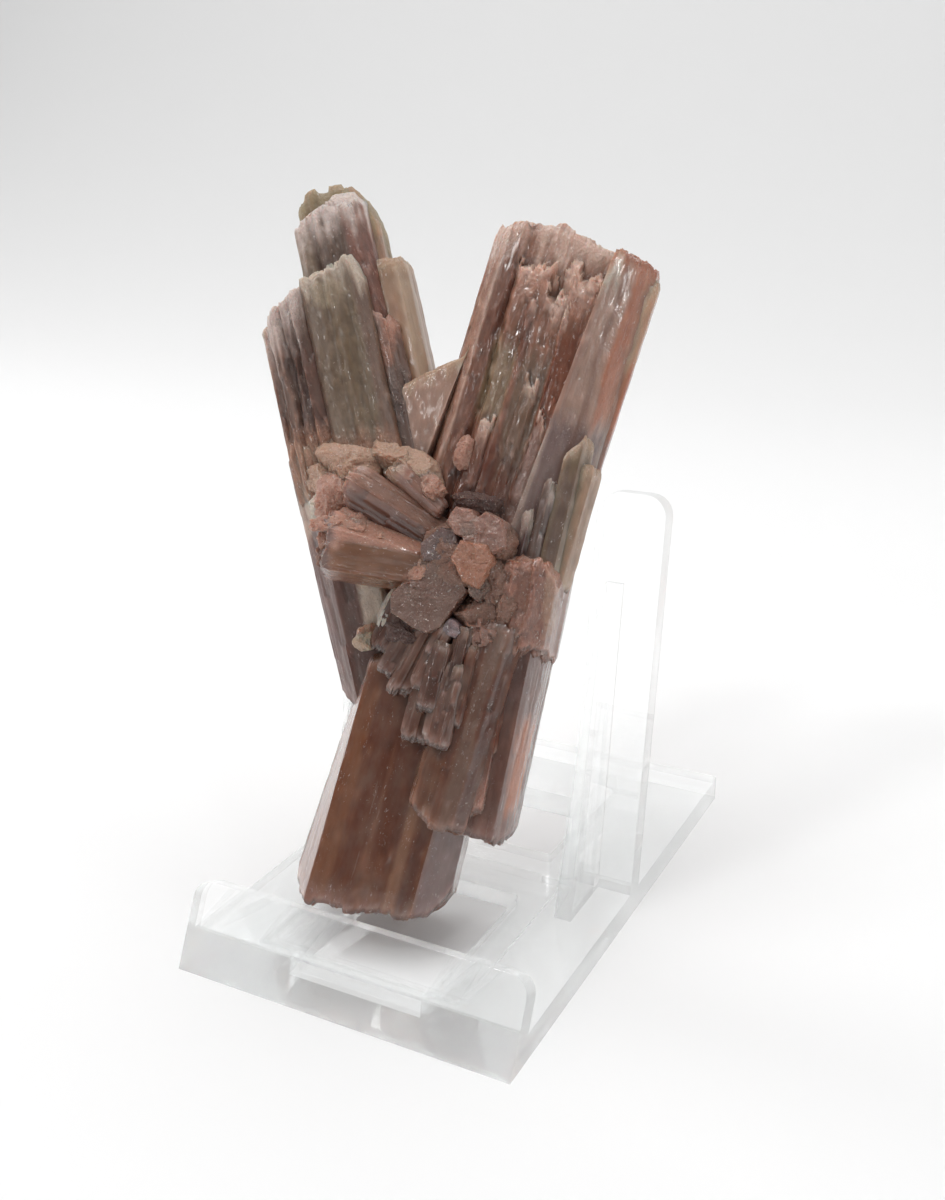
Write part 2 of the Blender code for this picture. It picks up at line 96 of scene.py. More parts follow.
def layered(x, y, z, seed):
    """Noise in three layers, each half as strong as the last and about twice as fine."""
    total, strength, scale = 0.0, 1.0, 1.0
    for k in range(3):
        total = total + strength * noise(x * scale, y * scale, z * scale, seed + 17 * k)
        strength, scale = strength * 0.5, scale * 2.1
    return total / 1.75


# Colours, linear.
def srgb(r, g, b):
    return np.array([((v / 255.0 + 0.055) / 1.055) ** 2.4 if v > 10 else v / 3294.6 for v in (r, g, b)])


BROWN = srgb(128, 88, 72)
DARK = srgb(92, 62, 54)
MAUVE = srgb(134, 114, 110)
GREY_GREEN = srgb(142, 130, 112)
PINK = srgb(202, 156, 138)
CREAM = srgb(200, 178, 156)
WHITE = srgb(232, 222, 210)
ORANGE = srgb(182, 118, 84)
SMOKE = srgb(112, 100, 98)
FROST = srgb(238, 226, 222)
TAN = srgb(208, 172, 150)
MATRIX = srgb(150, 114, 98)

# Powers for red, green and blue that deepen a part's colours.
DEEP_CLEAR = (1.15, 1.25, 1.31)
DEEP_CRUST = (1.10, 1.12, 1.13)
DEEP_CENTRE = (1.12, 1.17, 1.19)
SHARP = math.radians(38)    # edges sharper than this stay edges


def blend(under, over, share):
    return under * (1 - share[:, None]) + over * share[:, None]


class Part:
    """Gathers closed surfaces of several crystals into one piece."""

    def __init__(self, name, deepen=DEEP_CLEAR):
        self.name, self.deepen, self.count = name, np.array(deepen), 0
        self.co, self.faces, self.grain, self.tint, self.crust = [], [], [], [], []

    def add(self, co, faces, grain, tint, crust):
        self.co.append(co)
        self.faces.append(faces + self.count)
        self.grain.append(grain)
        self.tint.append(tint)
        self.crust.append(crust)
        self.count += len(co)

    def build(self, mat):
        world = to_world(np.concatenate(self.co))
        world[:, 2] = np.maximum(world[:, 2], FLOOR_Z * MM)
        faces = np.concatenate(self.faces)
        mesh = bpy.data.meshes.new(self.name)
        mesh.vertices.add(len(world))
        mesh.vertices.foreach_set("co", world.ravel())
        mesh.loops.add(faces.size)
        mesh.loops.foreach_set("vertex_index", faces.ravel())
        mesh.polygons.add(len(faces))
        mesh.polygons.foreach_set("loop_start", np.arange(0, faces.size, 3))
        mesh.polygons.foreach_set("loop_total", np.full(len(faces), 3))
        mesh.update(calc_edges=True)
        mesh.validate()
        colour = np.concatenate(self.tint) ** self.deepen
        opaque = np.ones((len(colour), 1))
        for name, kind, field, values in (
            ("grain", "FLOAT_VECTOR", "vector", np.concatenate(self.grain)),
            ("tint", "FLOAT_COLOR", "color", np.concatenate((colour, opaque), 1)),
            ("crust", "FLOAT", "value", np.concatenate(self.crust)),
        ):
            mesh.attributes.new(name, kind, "POINT").data.foreach_set(field, values.ravel())
        ob = bpy.data.objects.new(self.name, mesh)
        bpy.context.scene.collection.objects.link(ob)
        mesh.materials.append(mat)
        mesh.polygons.foreach_set("use_smooth", np.ones(len(faces), bool))
        mesh.set_sharp_from_angle(angle=SHARP)
        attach(ob, "root")
        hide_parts("aragonite_group")


def painted(p, base, zones, seed):
    """Vertex colours: the base and its zones, each (centre, half-axes, colour, strength, crust)."""
    colour = np.repeat(base[None, :], len(p), 0)
    crust = np.zeros(len(p))
    wander = layered(p[:, 0] * 0.5, p[:, 1] * 0.35, p[:, 2] * 0.5, seed)
    fine = noise(p[:, 0] * 2.2, p[:, 1] * 1.6, p[:, 2] * 2.2, seed + 5)
    for at, size, tone, strength, rough in zones:
        d = np.sqrt((((p - np.array(at)) / np.array(size)) ** 2).sum(1))
        k = np.clip((1.15 - d + 0.35 * wander + 0.22 * fine) * 2.4, 0, 1) * strength
        colour = blend(colour, tone, k)
        crust = np.maximum(crust * (1 - k), k * rough)
    colour = colour * (1 + 0.10 * wander + 0.06 * fine)[:, None]
    return np.clip(colour, 0.002, 0.98), crust


def near(value, low, high, soft):
    """1 between low and high, falling to 0 over soft."""
    return np.clip(np.minimum(value - low, high - value) / soft + 0.5, 0, 1)


def fused(blocks, seed, ribs=0.3, plates=1.0):
    """Relief of broken columns grown into one face: (s0, s1, low, top, height, slope) each, in mm.

    Gives the height over the face and how crusted it is, from s across the section and b up the lean.
    """
    side_slope, foot_slope, head_slope = 1.1, 6.0, 0.9
    tooth_width, calm_below, calm_over = 0.75, 46, 22

    def vary(x, y, k, z=0):
        return noise(x, y, z, seed + k)

    def relief(s, b):
        ws = s + 0.35 * vary(s * 0.8, b * 0.12, 0) + 0.16 * vary(s * 2.4, b * 0.6, 1)
        teeth = 1.4 * cells(ws / tooth_width + 0.3 * vary(b * 0.3, 0, 6), 0 * b, seed + 2)
        teeth = teeth + 0.9 * vary(ws * 1.9, b * 0.3, 3)
        rib = ribs * (0.7 * vary(ws * 1.2, b * 0.045, 4) + 0.4 * vary(ws * 2.9, b * 0.08, 5))
        rib = rib * np.clip((b - calm_below) / calm_over, 0.3, 1)
        plate = vary(ws * 0.9 + 3, b * 0.16 + 0.5 * vary(ws * 2.2, b * 0.4, 10), 11)
        sliver = vary(ws * 1.9, b * 0.32 + 0.5 * vary(ws * 3.1, b * 0.6, 12), 13, 5)
        thick = 0.45 * np.clip((plate - 0.12) * 9, 0, 1) + 0.24 * np.clip((sliver - 0.22) * 7, 0, 1)
        rib = rib + plates * thick
        tall = crust = np.zeros(np.broadcast(s, b).shape)
        for s0, s1, low, top, height, slope in blocks:
            end = top - teeth - b
            across = eased(np.clip((ws - s0) / slope, 0, 1)) * eased(np.clip((s1 - ws) / side_slope, 0, 1))
            high = height * across * np.clip(end / head_slope, 0, 1) * np.clip((b - low) / foot_slope, 0, 1)
            reach = 2.2 + 1.2 * vary(ws * 1.1, 0 * b, 9)
            mask = np.exp(-(np.maximum(end, 0) / reach) ** 2) * (end > -0.7)
            tallest = high > tall
            tall, crust = np.where(tallest, high, tall), np.where(tallest, mask, crust)
        grit = 0.26 * np.abs(vary(ws * 2.6, b * 2.0, 7)) + 0.12 * vary(ws * 5.5, b * 4.5, 8)
        grit = grit + 0.38 * np.abs(vary(ws * 1.1, b * 0.9, 14))
        return tall + rib * (1 - 0.5 * crust) + grit * (0.10 + crust), crust
    return relief


# How a crystal is meshed, in mm where it is a length.
END_FACING = 0.2            # a cut that looks along the axis more than this ends the crystal
END_ON = 0.3                # an axis whose level part is shorter than this points at the viewer
FRONT_FACING = 0.3          # sides that look forward more than this carry the relief
FRONT_FADE = 0.25
BACK_STEP = 2.6             # how much wider the other sides' columns are
COARSE_ROWS = 3             # how much longer the rows below fine_from are
SHORTEST = 0.02             # the least share of its length that a side keeps
CORNER = 0.25               # how far a corner is rounded
RIM, RIM_IN = 0.35, 0.22    # how wide the rim at an end is, and how far it draws in
FOOT_ROUGH = 0.7            # how far up from the foot it is crusted
CAP_RING = 0.3              # between the rings of an end face
END_GAP = 0.2               # kept between the two end faces
FAR = 1e3
HEAD_SEED, FOOT_SEED, FACE_SEED = 31, 57, 77


def unit(v):
    v = np.array(v, float)
    return v / np.linalg.norm(v)


class Lie:
    """How a crystal lies: foot, head and span, and the right and front of its section."""

    def __init__(self, foot, head):
        self.foot, self.head = np.array(foot, float), np.array(head, float)
        self.span = np.linalg.norm(self.head - self.foot)
        self.axis = unit(self.head - self.foot)
        right = np.cross(self.axis, (0, 0, 1.0))
        if np.linalg.norm(right) < END_ON:
            right = np.array((1.0, 0, 0))
            right = right - self.axis * (right @ self.axis)
        self.right = unit(right)
        self.front = np.cross(self.right, self.axis)

    def section(self, flat, start):
        return start + flat[..., :1] * self.right + flat[..., 1:] * self.front

    def along(self, flat, v):
        """Points of the section, v mm from the foot."""
        return self.section(flat, self.foot) + self.axis * v[..., None]

    def up(self, v):
        """How far up the group's lean v mm from the foot is."""
        return self.foot[1] + v * self.axis[1]

    def limits(self, cuts, p0, p1):
        """Where the cuts begin and end it, from 0 at p0 to 1 at p1."""
        lo, hi = np.zeros(len(p0)), np.ones(len(p0))
        for at, out in cuts:
            out = unit(out)
            d0, d1 = (p0 - np.array(at)) @ out, (p1 - np.array(at)) @ out
            t = d0 / np.where(np.abs(d0 - d1) < 1e-9, 1e-9, d0 - d1)
            if out @ self.axis > END_FACING:
                hi = np.minimum(hi, t)
            elif out @ self.axis < -END_FACING:
                lo = np.maximum(lo, t)
        return lo, hi


def outlined(sec, top, step, relief):
    """Columns round the outline: at the foot, at the head, how far round, how far from a corner."""
    anticlockwise = (sec[:, 0] * np.roll(sec[:, 1], -1) - np.roll(sec[:, 0], -1) * sec[:, 1]).sum() > 0
    lows, tops, s_at, corner = [], [], [], []
    run = 0.0
    for i in range(len(sec)):
        after = (i + 1) % len(sec)
        a, b, ta, tb = sec[i], sec[after], top[i], top[after]
        length = max(np.linalg.norm(b - a), np.linalg.norm(tb - ta))
        forward = (ta - tb)[0] if anticlockwise else (tb - ta)[0]
        fine = step if relief is None or forward > FRONT_FACING * length else step * BACK_STEP
        count = max(2, int(round(length / fine)))
        for j in range(count):
            f = j / count
            lows.append(a * (1 - f) + b * f)
            tops.append(ta * (1 - f) + tb * f)
            s_at.append(run + length * f)
            corner.append(min(f, 1 - f) * length)
        run += length
    return np.array(lows), np.array(tops), np.array(s_at), np.array(corner), run


def row_places(lie, used, step, fine_from):
    """Rows along a crystal, 0 to 1, coarse below fine_from."""
    if fine_from is None:
        return np.linspace(0, 1, max(6, int(lie.span * used / step)))
    knee = (fine_from - lie.foot[1]) / (lie.head[1] - lie.foot[1])
    coarse = max(4, int(lie.span * knee / (step * COARSE_ROWS)))
    fine = int(lie.span * (1 - knee) / step)
    return np.concatenate((np.linspace(0, knee, coarse, endpoint=False), np.linspace(knee, 1, fine)))


def outward_of(lows):
    """Outward direction of each column in the section plane."""
    tangent = np.roll(lows, -1, 0) - np.roll(lows, 1, 0)
    tangent /= np.linalg.norm(tangent, axis=1)[:, None] + 1e-9
    outward = np.stack((tangent[:, 1], -tangent[:, 0]), 1)
    return -outward if ((lows - lows.mean(0)) * outward).sum() < 0 else outward


def jag(x, y, depth, seed):
    """Uneven broken end, in mm: blocky steps and fine teeth."""
    block = cells(x / 1.7 + 0.35 * noise(x, y, 0, seed + 2), y / 1.7, seed)
    return depth * (0.9 * block + 0.55 * (noise(x * 1.1, y * 1.1, 0, seed + 4) + 1) * 0.5
                    + 0.3 * np.abs(noise(x * 3.1, y * 3.1, 0, seed + 9)))


def grooved(s, v, run, striae, ledges, seed):
    """Growth lines and broken plates on the sides, in mm outwards."""
    loop = 2 * math.pi / run
    cx, cy = np.cos(s * loop) / loop, np.sin(s * loop) / loop               # closes round the outline
    groove = (0.55 * noise(cx * 1.1, cy * 1.1, v * 0.03, seed)
              + 0.45 * noise(cx * 2.6, cy * 2.6, v * 0.05, seed + 3)
              - 0.35 * np.abs(noise(cx * 1.8, cy * 1.8, v * 0.02, seed + 6)))
    off = striae * groove + 0.04 * noise(cx * 1.5, cy * 1.5, v * 0.8, seed + 8)
    if not ledges:
        return off
    drift = 0.5 * noise(cx * 0.7, cy * 0.7, v * 0.12, seed + 12)

    def plates(wander, wide, long, shift, layer, more):
        """Broken plates in columns, each column shifted along the axis."""
        start = hashed(np.floor(s / wide).astype(np.int64), np.int64(layer), np.int64(0), seed)
        return cells((s + wander * drift) / wide, v / long + shift * start, seed + more)

    plate, sliver = plates(0.5, 1.25, 6.5, 4, 0, 14), plates(0.3, 0.6, 3.4, 3, 1, 19)
    return off - ledges * (0.75 * np.clip(plate * 1.6 - 0.6, 0, 1) + 0.3 * np.clip(sliver * 2 - 1, 0, 1))


def standing_out(depth):
    """How far broken edges stand out of what lies above and below them along the axis, in mm."""
    around = depth
    for reach in (1, 2, 3):
        beyond = np.pad(around, ((reach, reach), (0, 0)), mode="edge")
        around = (around + beyond[2 * reach:] + beyond[:-2 * reach]) / 3
    return (depth - around).ravel()


def wall(rows, columns):
    """Triangles between the rows of a closed grid."""
    col = np.arange(columns)
    after = (col + 1) % columns
    row = np.arange(rows - 1)[:, None] * columns
    a, b = (row + col).ravel(), (row + after).ravel()
    c, d = (row + columns + after).ravel(), (row + columns + col).ravel()
    return np.concatenate((np.stack((a, b, c), 1), np.stack((a, c, d), 1)))


def end_face(lie, cuts, ring, before, count, v, upper, ragged, cap_rough, seed):
    """Rings from the rim to the middle of a broken end: points, places in the section, triangles."""
    columns = np.arange(len(ring))
    centre = ring.mean(0)
    rings = max(3, int(np.linalg.norm(ring - centre, axis=1).mean() / CAP_RING))
    co, local, faces = [], [], []
    for r in range(1, rings + 1):
        q = centre + (ring - centre) * (1 - r / rings) if r < rings else centre[None, :]
        p0 = lie.section(q, lie.foot)
        low, high = lie.limits(cuts, p0, p0 + lie.axis * lie.span)
        # An end never dips past the other end.
        if upper:
            level = high * lie.span - jag(q[:, 0], q[:, 1], ragged[1], seed + HEAD_SEED)
            level = np.maximum(level, float(v[0].min()) + END_GAP)
        else:
            level = low * lie.span + jag(q[:, 0], q[:, 1], ragged[0], seed + FOOT_SEED)
            level = np.minimum(level, float(v[-1].max()) - END_GAP)
        level = level + cap_rough * noise(q[:, 0] * 2.3, q[:, 1] * 2.3, 0, seed + FACE_SEED)
        co.append(lie.along(q, level))
        local.append(np.concatenate((q, level[:, None]), 1))
        after = np.roll(before, -1)
        if r == rings:
            middle = np.full(len(ring), count)
            faces.append((before, after, middle) if upper else (after, before, middle))
        else:
            inner = count + columns
            inner_after = np.roll(inner, -1)
            faces += ([(before, after, inner_after), (before, inner_after, inner)] if upper
                      else [(after, before, inner), (after, inner, inner_after)])
            before = inner
        count += len(q)
    return np.concatenate(co), np.concatenate(local), np.concatenate([np.stack(f, 1) for f in faces])


def facing_out(co, faces):
    """A closed surface's triangles, turned outwards."""
    tri = co[faces]
    volume = np.einsum("ij,ij->i", tri[:, 0], np.cross(tri[:, 1], tri[:, 2])).sum()
    return faces[:, ::-1] if volume < 0 else faces


def padded(values, count):
    return np.concatenate((values.ravel(), np.zeros(count - values.size)))


def crystal(part, foot, head, section, head_section=None, cuts=(), base=BROWN, zones=(), bands=(), seed=1,
            striae=0.12, ledges=0.0, ragged=(0.3, 0.3), step=(0.32, 0.6), round_off=0.04, cap_rough=0.15,
            tip=CREAM, tip_mix=0.35, frost=0.9, relief=None, fine_from=None, edge_highlight_crease_shade=5.0):
    """A striated prism from foot to head with broken ends.

    cuts are planes, point and outward direction in (a, b, c): those across the axis end it, those
    along it are flat faces. striae is how deep its grooves run, ledges how deep its broken plates
    are, ragged how uneven its foot and head are, step the mesh round it and along it, frost how far
    the tip's colour runs down, in mm. The last argument is how strongly a painted highlight lies on
    its raised broken edges and a painted shade in its creases.
    zones are in (a, b, c); bands run along the axis: (s0, s1, b0, b1, colour, strength, crust).
    relief is a fused() face on its front; rows are coarse below b = fine_from.
    """
    lie = Lie(foot, head)
    sec = np.array(section, float)
    top = np.array(head_section, float) if head_section else sec
    lows, tops, s_at, corner, run = outlined(sec, top, step[0], relief)
    lo, hi = lie.limits(cuts, lie.section(lows, lie.foot), lie.section(tops, lie.head))
    hi = np.maximum(hi - jag(tops[:, 0], tops[:, 1], ragged[1], seed + HEAD_SEED) / lie.span, lo + SHORTEST)
    lo = np.minimum(lo + jag(lows[:, 0], lows[:, 1], ragged[0], seed + FOOT_SEED) / lie.span, hi - SHORTEST)
    used = (hi - lo).max()
    f = row_places(lie, used, step[1], fine_from)
    t = lo[None, :] + (hi - lo)[None, :] * f[:, None]                       # rows x columns
    flat = lows[None] * (1 - t[..., None]) + tops[None] * t[..., None]
    outward = outward_of(lows)
    v = t * lie.span
    s = np.broadcast_to(s_at[None, :], t.shape)
    off = grooved(s, v, run, striae, ledges, seed) - round_off * np.exp(-(corner[None, :] / CORNER) ** 2)
    # The last rows draw in a little, so the rim isn't knife-sharp.
    rim = np.minimum(f, 1 - f) * used * lie.span
    off = off - RIM_IN * np.exp(-(rim[:, None] / RIM) ** 2)
    flat = flat + outward[None] * off[..., None]
    raised = np.zeros(t.shape)
    if relief is not None:
        high, raised = relief(flat[..., 0], lie.up(v))
        facing = np.clip((outward[:, 1] - FRONT_FACING) / FRONT_FADE, 0, 1)[None, :]
        flat[..., 1] += high * facing
        raised, off = raised * facing, off + high * facing

    co = [lie.along(flat, v).reshape(-1, 3)]
    local = [np.concatenate((flat, v[..., None]), -1).reshape(-1, 3)]
    faces = [wall(*t.shape)]
    away = [((hi[None, :] - t) * lie.span).ravel()]
    at_foot = [np.repeat(np.exp(-(f * used * lie.span / FOOT_ROUGH) ** 2), len(lows))]
    count = t.size
    for upper, row in ((True, len(f) - 1), (False, 0)):
        rim_points = row * len(lows) + np.arange(len(lows))
        face = end_face(lie, cuts, flat[row], rim_points, count, v, upper, ragged, cap_rough, seed)
        for gathered, new in zip((co, local, faces), face):
            gathered.append(new)
        away.append(np.full(len(face[0]), 0.0 if upper else FAR))
        at_foot.append(np.full(len(face[0]), 0.0 if upper else 1.0))
        count += len(face[0])
    co, local = np.concatenate(co), np.concatenate(local)
    faces = facing_out(co, np.concatenate(faces))
    for at, out in cuts:
        out = unit(out)
        if abs(out @ lie.axis) <= END_FACING:
            over = np.maximum((co - np.array(at)) @ out, 0)
            co = co - over[:, None] * out

    # Its colour: zones and bands, then painted highlight on raised edges and painted shade in creases, then
    # the frosted tip.
    tint, crust = painted(co, base, zones, seed)
    s, depth, b = local[:, 0], local[:, 1], lie.up(local[:, 2])
    streak = noise(s * 1.7, depth * 1.7, b * 0.10, seed + 61)
    spot = noise(s * 2.6, depth * 2.6, b * 1.1, seed + 63)
    ws = s + 0.28 * noise(s * 0.9, b * 0.16, 0, seed + 65) + 0.10 * spot
    wb = b + 1.4 * streak + 0.5 * spot
    for s0, s1, b0, b1, tone, strength, rough in bands:
        k = near(ws, s0, s1, 0.45) * near(wb, b0, b1, 2.2) * strength * (depth > sec[:, 1].mean())
        tint = blend(tint, tone, k)
        crust = np.maximum(crust * (1 - k), k * rough)
    # Painted light: edges that stand out are lightened as a painted highlight, hollows darkened as painted
    # shade.
    ridge = padded(standing_out(off), len(co))
    tint = tint * np.exp(np.clip(ridge * edge_highlight_crease_shade, -0.6, 0.4))[:, None]
    pale = np.clip((ridge - 0.02) * 9, 0, 0.6) * np.clip(0.6 + spot, 0, 1)
    tint = blend(tint, 0.4 * tint + 0.34, pale)
    away = np.concatenate(away)
    ends = np.clip(1.15 - away / frost + 0.75 * streak * (away > 0.2) + 0.25 * spot, 0, 1) * tip_mix
    crusted = padded(raised, len(co)) * (1.25 + 0.5 * streak + 0.4 * spot)
    ends = np.maximum(ends, tip_mix * np.clip(crusted, 0, 1))
    crust = np.maximum(crust, np.clip(0.9 * ends + 0.4 * np.concatenate(at_foot), 0, 1))
    part.add(co, faces, local, blend(tint, tip, ends), crust)


LUMP_ROWS, LUMP_PLANES = 26, 12


def lump(part, at, size, seed, spin, tone):
    """A rough crusted lump, half-axes (a, b, c) in mm: a ball flattened by planes."""
    at, size = np.array(at, float), np.array(size)
    columns, rows = LUMP_ROWS * 2, LUMP_ROWS - 2
    round_it = np.linspace(0, 2 * math.pi, columns, endpoint=False)
    uu, ww = np.meshgrid(round_it, np.linspace(0, math.pi, LUMP_ROWS)[1:-1])
    d = np.stack((np.sin(ww) * np.cos(uu), np.sin(ww) * np.sin(uu), np.cos(ww)), -1).reshape(-1, 3)
    d = np.concatenate((d, [[0, 0, 1.0], [0, 0, -1.0]]))
    r = 1 + 0.14 * layered(d[:, 0] * 2.2, d[:, 1] * 2.2, d[:, 2] * 2.2, seed)
    rng = np.random.RandomState(seed)
    planes = rng.normal(size=(LUMP_PLANES, 3))
    planes /= np.linalg.norm(planes, axis=1)[:, None]
    reach = rng.uniform(0.6, 0.95, LUMP_PLANES)
    ball = d * r[:, None]
    over = np.maximum(((ball @ planes.T) / reach).max(1), 1)
    co = ball / over[:, None] * size
    co = co + d * (0.34 * np.abs(noise(co[:, 0] * 1.5, co[:, 1] * 1.5, co[:, 2] * 1.5, seed + 2)))[:, None]
    co = co + d * (0.13 * noise(co[:, 0] * 4, co[:, 1] * 4, co[:, 2] * 4, seed + 4))[:, None]
    t = math.radians(spin)
    rot = np.array(((math.cos(t), -math.sin(t), 0), (math.sin(t), math.cos(t), 0), (0, 0, 1)))
    co = co @ rot.T + at
    col = np.arange(columns)
    after = (col + 1) % columns
    north, south, last = rows * columns, rows * columns + 1, (rows - 1) * columns
    faces = np.concatenate((
        wall(rows, columns)[:, (0, 2, 1)],
        np.stack((np.full(columns, north), col, after), 1),
        np.stack((np.full(columns, south), last + after, last + col), 1),
    ))
    tint, crust = painted(co, tone, (), seed)
    part.add(co, facing_out(co - at, faces), co - at, tint, np.maximum(crust, 0.8))


# The two individuals' axes, as lines in (a, b).
RIGHT_TILT, RIGHT_THROUGH = math.radians(13.0), (15.3, 74.5)
LEFT_TILT, LEFT_THROUGH = math.radians(-17.0), (-8.0, 68.0)


def right_a(b, s=0.0):
    """a at height b on the long individual's line, or s to its right."""
    return RIGHT_THROUGH[0] + math.tan(RIGHT_TILT) * (b - RIGHT_THROUGH[1]) + s / math.cos(RIGHT_TILT)


def left_a(b, s=0.0):
    return LEFT_THROUGH[0] + math.tan(LEFT_TILT) * (b - LEFT_THROUGH[1]) + s / math.cos(LEFT_TILT)


BACK_BEVEL, BEVEL_ASPECT = 0.8, 0.8


def column(part, line, low_b, high_b, s0, s1, back, front, bevel=(0.8, 0.8), **more):
    """A long crystal of one individual, between s0 and s1 across, with bevelled front edges."""
    mid, half = (s0 + s1) / 2, (s1 - s0) / 2
    l, r = bevel
    section = [(-half, back + BACK_BEVEL), (-half + BACK_BEVEL, back), (half - BACK_BEVEL, back),
               (half, back + BACK_BEVEL), (half, front - r), (half - r * BEVEL_ASPECT, front),
               (-half + l * BEVEL_ASPECT, front), (-half, front - l)]
    crystal(part, (line(low_b, mid), low_b, 0), (line(high_b, mid), high_b, 0), section, **more)


# The long individual's upper arm: one prism, its front a relief of broken columns.
arm = Part("right_arm")
arm_front = fused(((-6.9, -5.0, 38, 81.0, 0.30, 0.5), (-5.3, -2.4, 38, 79.5, 0.95, 2.2),
                   (-3.1, 8.6, 38, 71.0, 1.2, 1.4), (-3.1, 1.9, 40, 73.0, 1.25, 1.2),
                   (2.5, 8.6, 42, 73.4, 1.3, 1.2), (-0.8, 1.5, 40, 69.5, 1.55, 0.9),
                   (3.0, 4.9, 42, 70.0, 1.55, 0.9), (5.6, 8.4, 48, 73.4, 1.6, 1.0),
                   (0.6, 3.6, 40, 61.0, 1.5, 1.1), (-2.6, 0.6, 42, 56.5, 1.45, 1.0),
                   (3.2, 6.2, 42, 58.5, 1.5, 1.1)),
                  seed=5, ribs=0.16, plates=0.24)
crystal(arm, (right_a(3.0, 0.3), 3.0, 0), (right_a(78.0), 78.0, 0),
        [(-7.2, -3.0), (-5.4, -6.6), (4.8, -6.8), (8.4, -4.4), (8.5, 2.9), (5.0, 3.3), (-5.0, 3.6),
         (-7.2, 1.4)],
        cuts=[((8.5, 77.9, 0), (0.06, 1, 0.0)), ((17.0, 77.0, 0), (0.42, 1, -0.05))],
        base=srgb(152, 116, 101), seed=3, striae=0.08, ledges=0.0, ragged=(0.6, 0.9),
        tip=srgb(242, 218, 206), tip_mix=0.72, frost=4.5, relief=arm_front, fine_from=40.0,
        step=(0.17, 0.24),
        bands=[(-8.0, -5.2, 50, 80, srgb(184, 150, 136), 0.8, 0.25),
               # A thin painted highlight along the edge of the left face.
               (-5.4, -5.05, 50, 78, srgb(232, 210, 200), 0.85, 0.3),
               (-5.1, -2.9, 44, 76, srgb(104, 74, 66), 0.6, 0.0),
               (-4.8, 8.6, 73.5, 84, srgb(150, 106, 92), 0.55, 0.9),
               (-2.9, 1.2, 68.5, 72.6, srgb(206, 160, 142), 0.55, 0.9),
               (2.6, 8.2, 68.0, 73.0, srgb(206, 160, 142), 0.55, 0.9),
               (-2.9, -0.1, 55, 63.5, srgb(150, 140, 118), 0.75, 0.15),
               (0.8, 3.8, 50, 63, srgb(128, 116, 104), 0.75, 0.1),
               (-3.0, 1.6, 38, 53.5, srgb(112, 68, 52), 0.75, 0.0),
               (3.8, 6.6, 56, 66, srgb(136, 84, 62), 0.65, 0.0),
               (-1.2, 1.0, 62, 67, srgb(100, 62, 52), 0.6, 0.0),
               (3.9, 6.6, 44, 54.5, srgb(170, 160, 160), 0.45, 0.8),
               (1.8, 4.2, 40, 52, srgb(104, 76, 68), 0.6, 0.2),
               (4.6, 7.4, 74.5, 80, srgb(206, 202, 192), 0.85, 0.4)],
        zones=[((6.6, 66.0, 3.0), (1.1, 14.0, 3.2), PINK, 0.5, 0.3)])
# Its smooth right face and the orange edge.
crystal(arm, (right_a(38, 9.4), 38, 0), (right_a(76, 9.6), 76, 0),
        [(-4.8, -5.6), (1.0, -4.8), (2.1, -1.8), (2.1, 1.6), (0.4, 4.2), (-4.8, 5.6)],
        [(-2.4, -5.6), (1.0, -4.8), (2.1, -1.8), (2.1, 1.6), (0.4, 4.2), (-2.4, 5.4)],
        cuts=[((24.0, 74.6, 2), (0.5, 1, 0.1)), ((19.6, 74.6, 3), (-0.4, 1, 0.2))],
        base=srgb(180, 158, 149), seed=19, striae=0.05, ragged=(0.4, 0.9), tip=ORANGE, tip_mix=0.7,
        frost=2.2, step=(0.25, 0.4),
        bands=[(0.2, 3.0, 56, 78, ORANGE, 0.8, 0.1), (-4.4, -1.4, 69.5, 79, srgb(226, 224, 214), 0.8, 0.6),
               (-4.9, 1.6, 36, 55, srgb(128, 118, 122), 0.75, 0.1),
               (-1.2, -0.6, 40, 74, srgb(126, 102, 94), 0.5, 0.0), (-4.9, -3.6, 42, 54, WHITE, 0.35, 1.0)])
crystal(arm, (right_a(41, 10.6), 41, 0), (right_a(73.0, 11.2), 73.0, 0),
        [(-2.2, -4.2), (-0.2, -3.4), (1.0, -0.6), (1.1, 1.2), (-0.4, 2.8), (-2.2, 2.6)],
        cuts=[((25.4, 72.9, 1), (0.6, 1, 0.1))], base=ORANGE, seed=23, striae=0.05, ragged=(0.4, 0.7),
        tip=CREAM, tip_mix=0.6, frost=2.0,
        bands=[(-0.6, 1.6, 62, 74, CREAM, 0.6, 0.2), (-1.4, 1.6, 40, 54, MAUVE, 0.7, 0.0)])
crystal(arm, (17.6, 38, 3.2), (20.4, 55.4, 3.2),
        [(-1.6, -1.5), (1.2, -1.8), (1.5, 0.4), (0.5, 2.2), (-1.3, 2.4)],
        cuts=[((19.0, 52.6, 4), (-0.9, 1, 0)), ((21.0, 54.2, 4), (0.9, 1, 0))], base=srgb(140, 128, 112),
        seed=29, striae=0.10, ragged=(0.2, 0.5), tip=CREAM, tip_mix=0.7, frost=1.2, step=(0.2, 0.35),
        bands=[(-0.8, 0.3, 38, 50, SMOKE, 0.7, 0.2)])
crystal(arm, (18.3, 37, 2.4), (21.2, 51.2, 2.4),
        [(-1.8, -2.6), (0.7, -2.2), (1.45, 0.2), (0.7, 2.0), (-1.6, 2.6)],
        cuts=[((20.2, 51.3, 2), (-0.5, 1, 0.1)), ((22.2, 50.8, 2), (0.25, 1, 0))], base=srgb(172, 154, 138),
        seed=31, striae=0.08, ragged=(0.2, 0.35), tip=CREAM, tip_mix=0.7, frost=1.2, step=(0.2, 0.35),
        bands=[(-1.0, -0.2, 38, 50, GREY_GREEN, 0.7, 0.2)])
crystal(arm, (15.4, 38.0, 3.8), (17.6, 49.5, 3.8),
        [(-0.9, -1.5), (0.9, -1.5), (1.0, 1.6), (0.2, 2.6), (-0.8, 2.2)], base=SMOKE, seed=37, striae=0.16,
        ledges=0.3, ragged=(0.2, 1.2), tip=WHITE, tip_mix=0.4, frost=3.0, step=(0.2, 0.35))
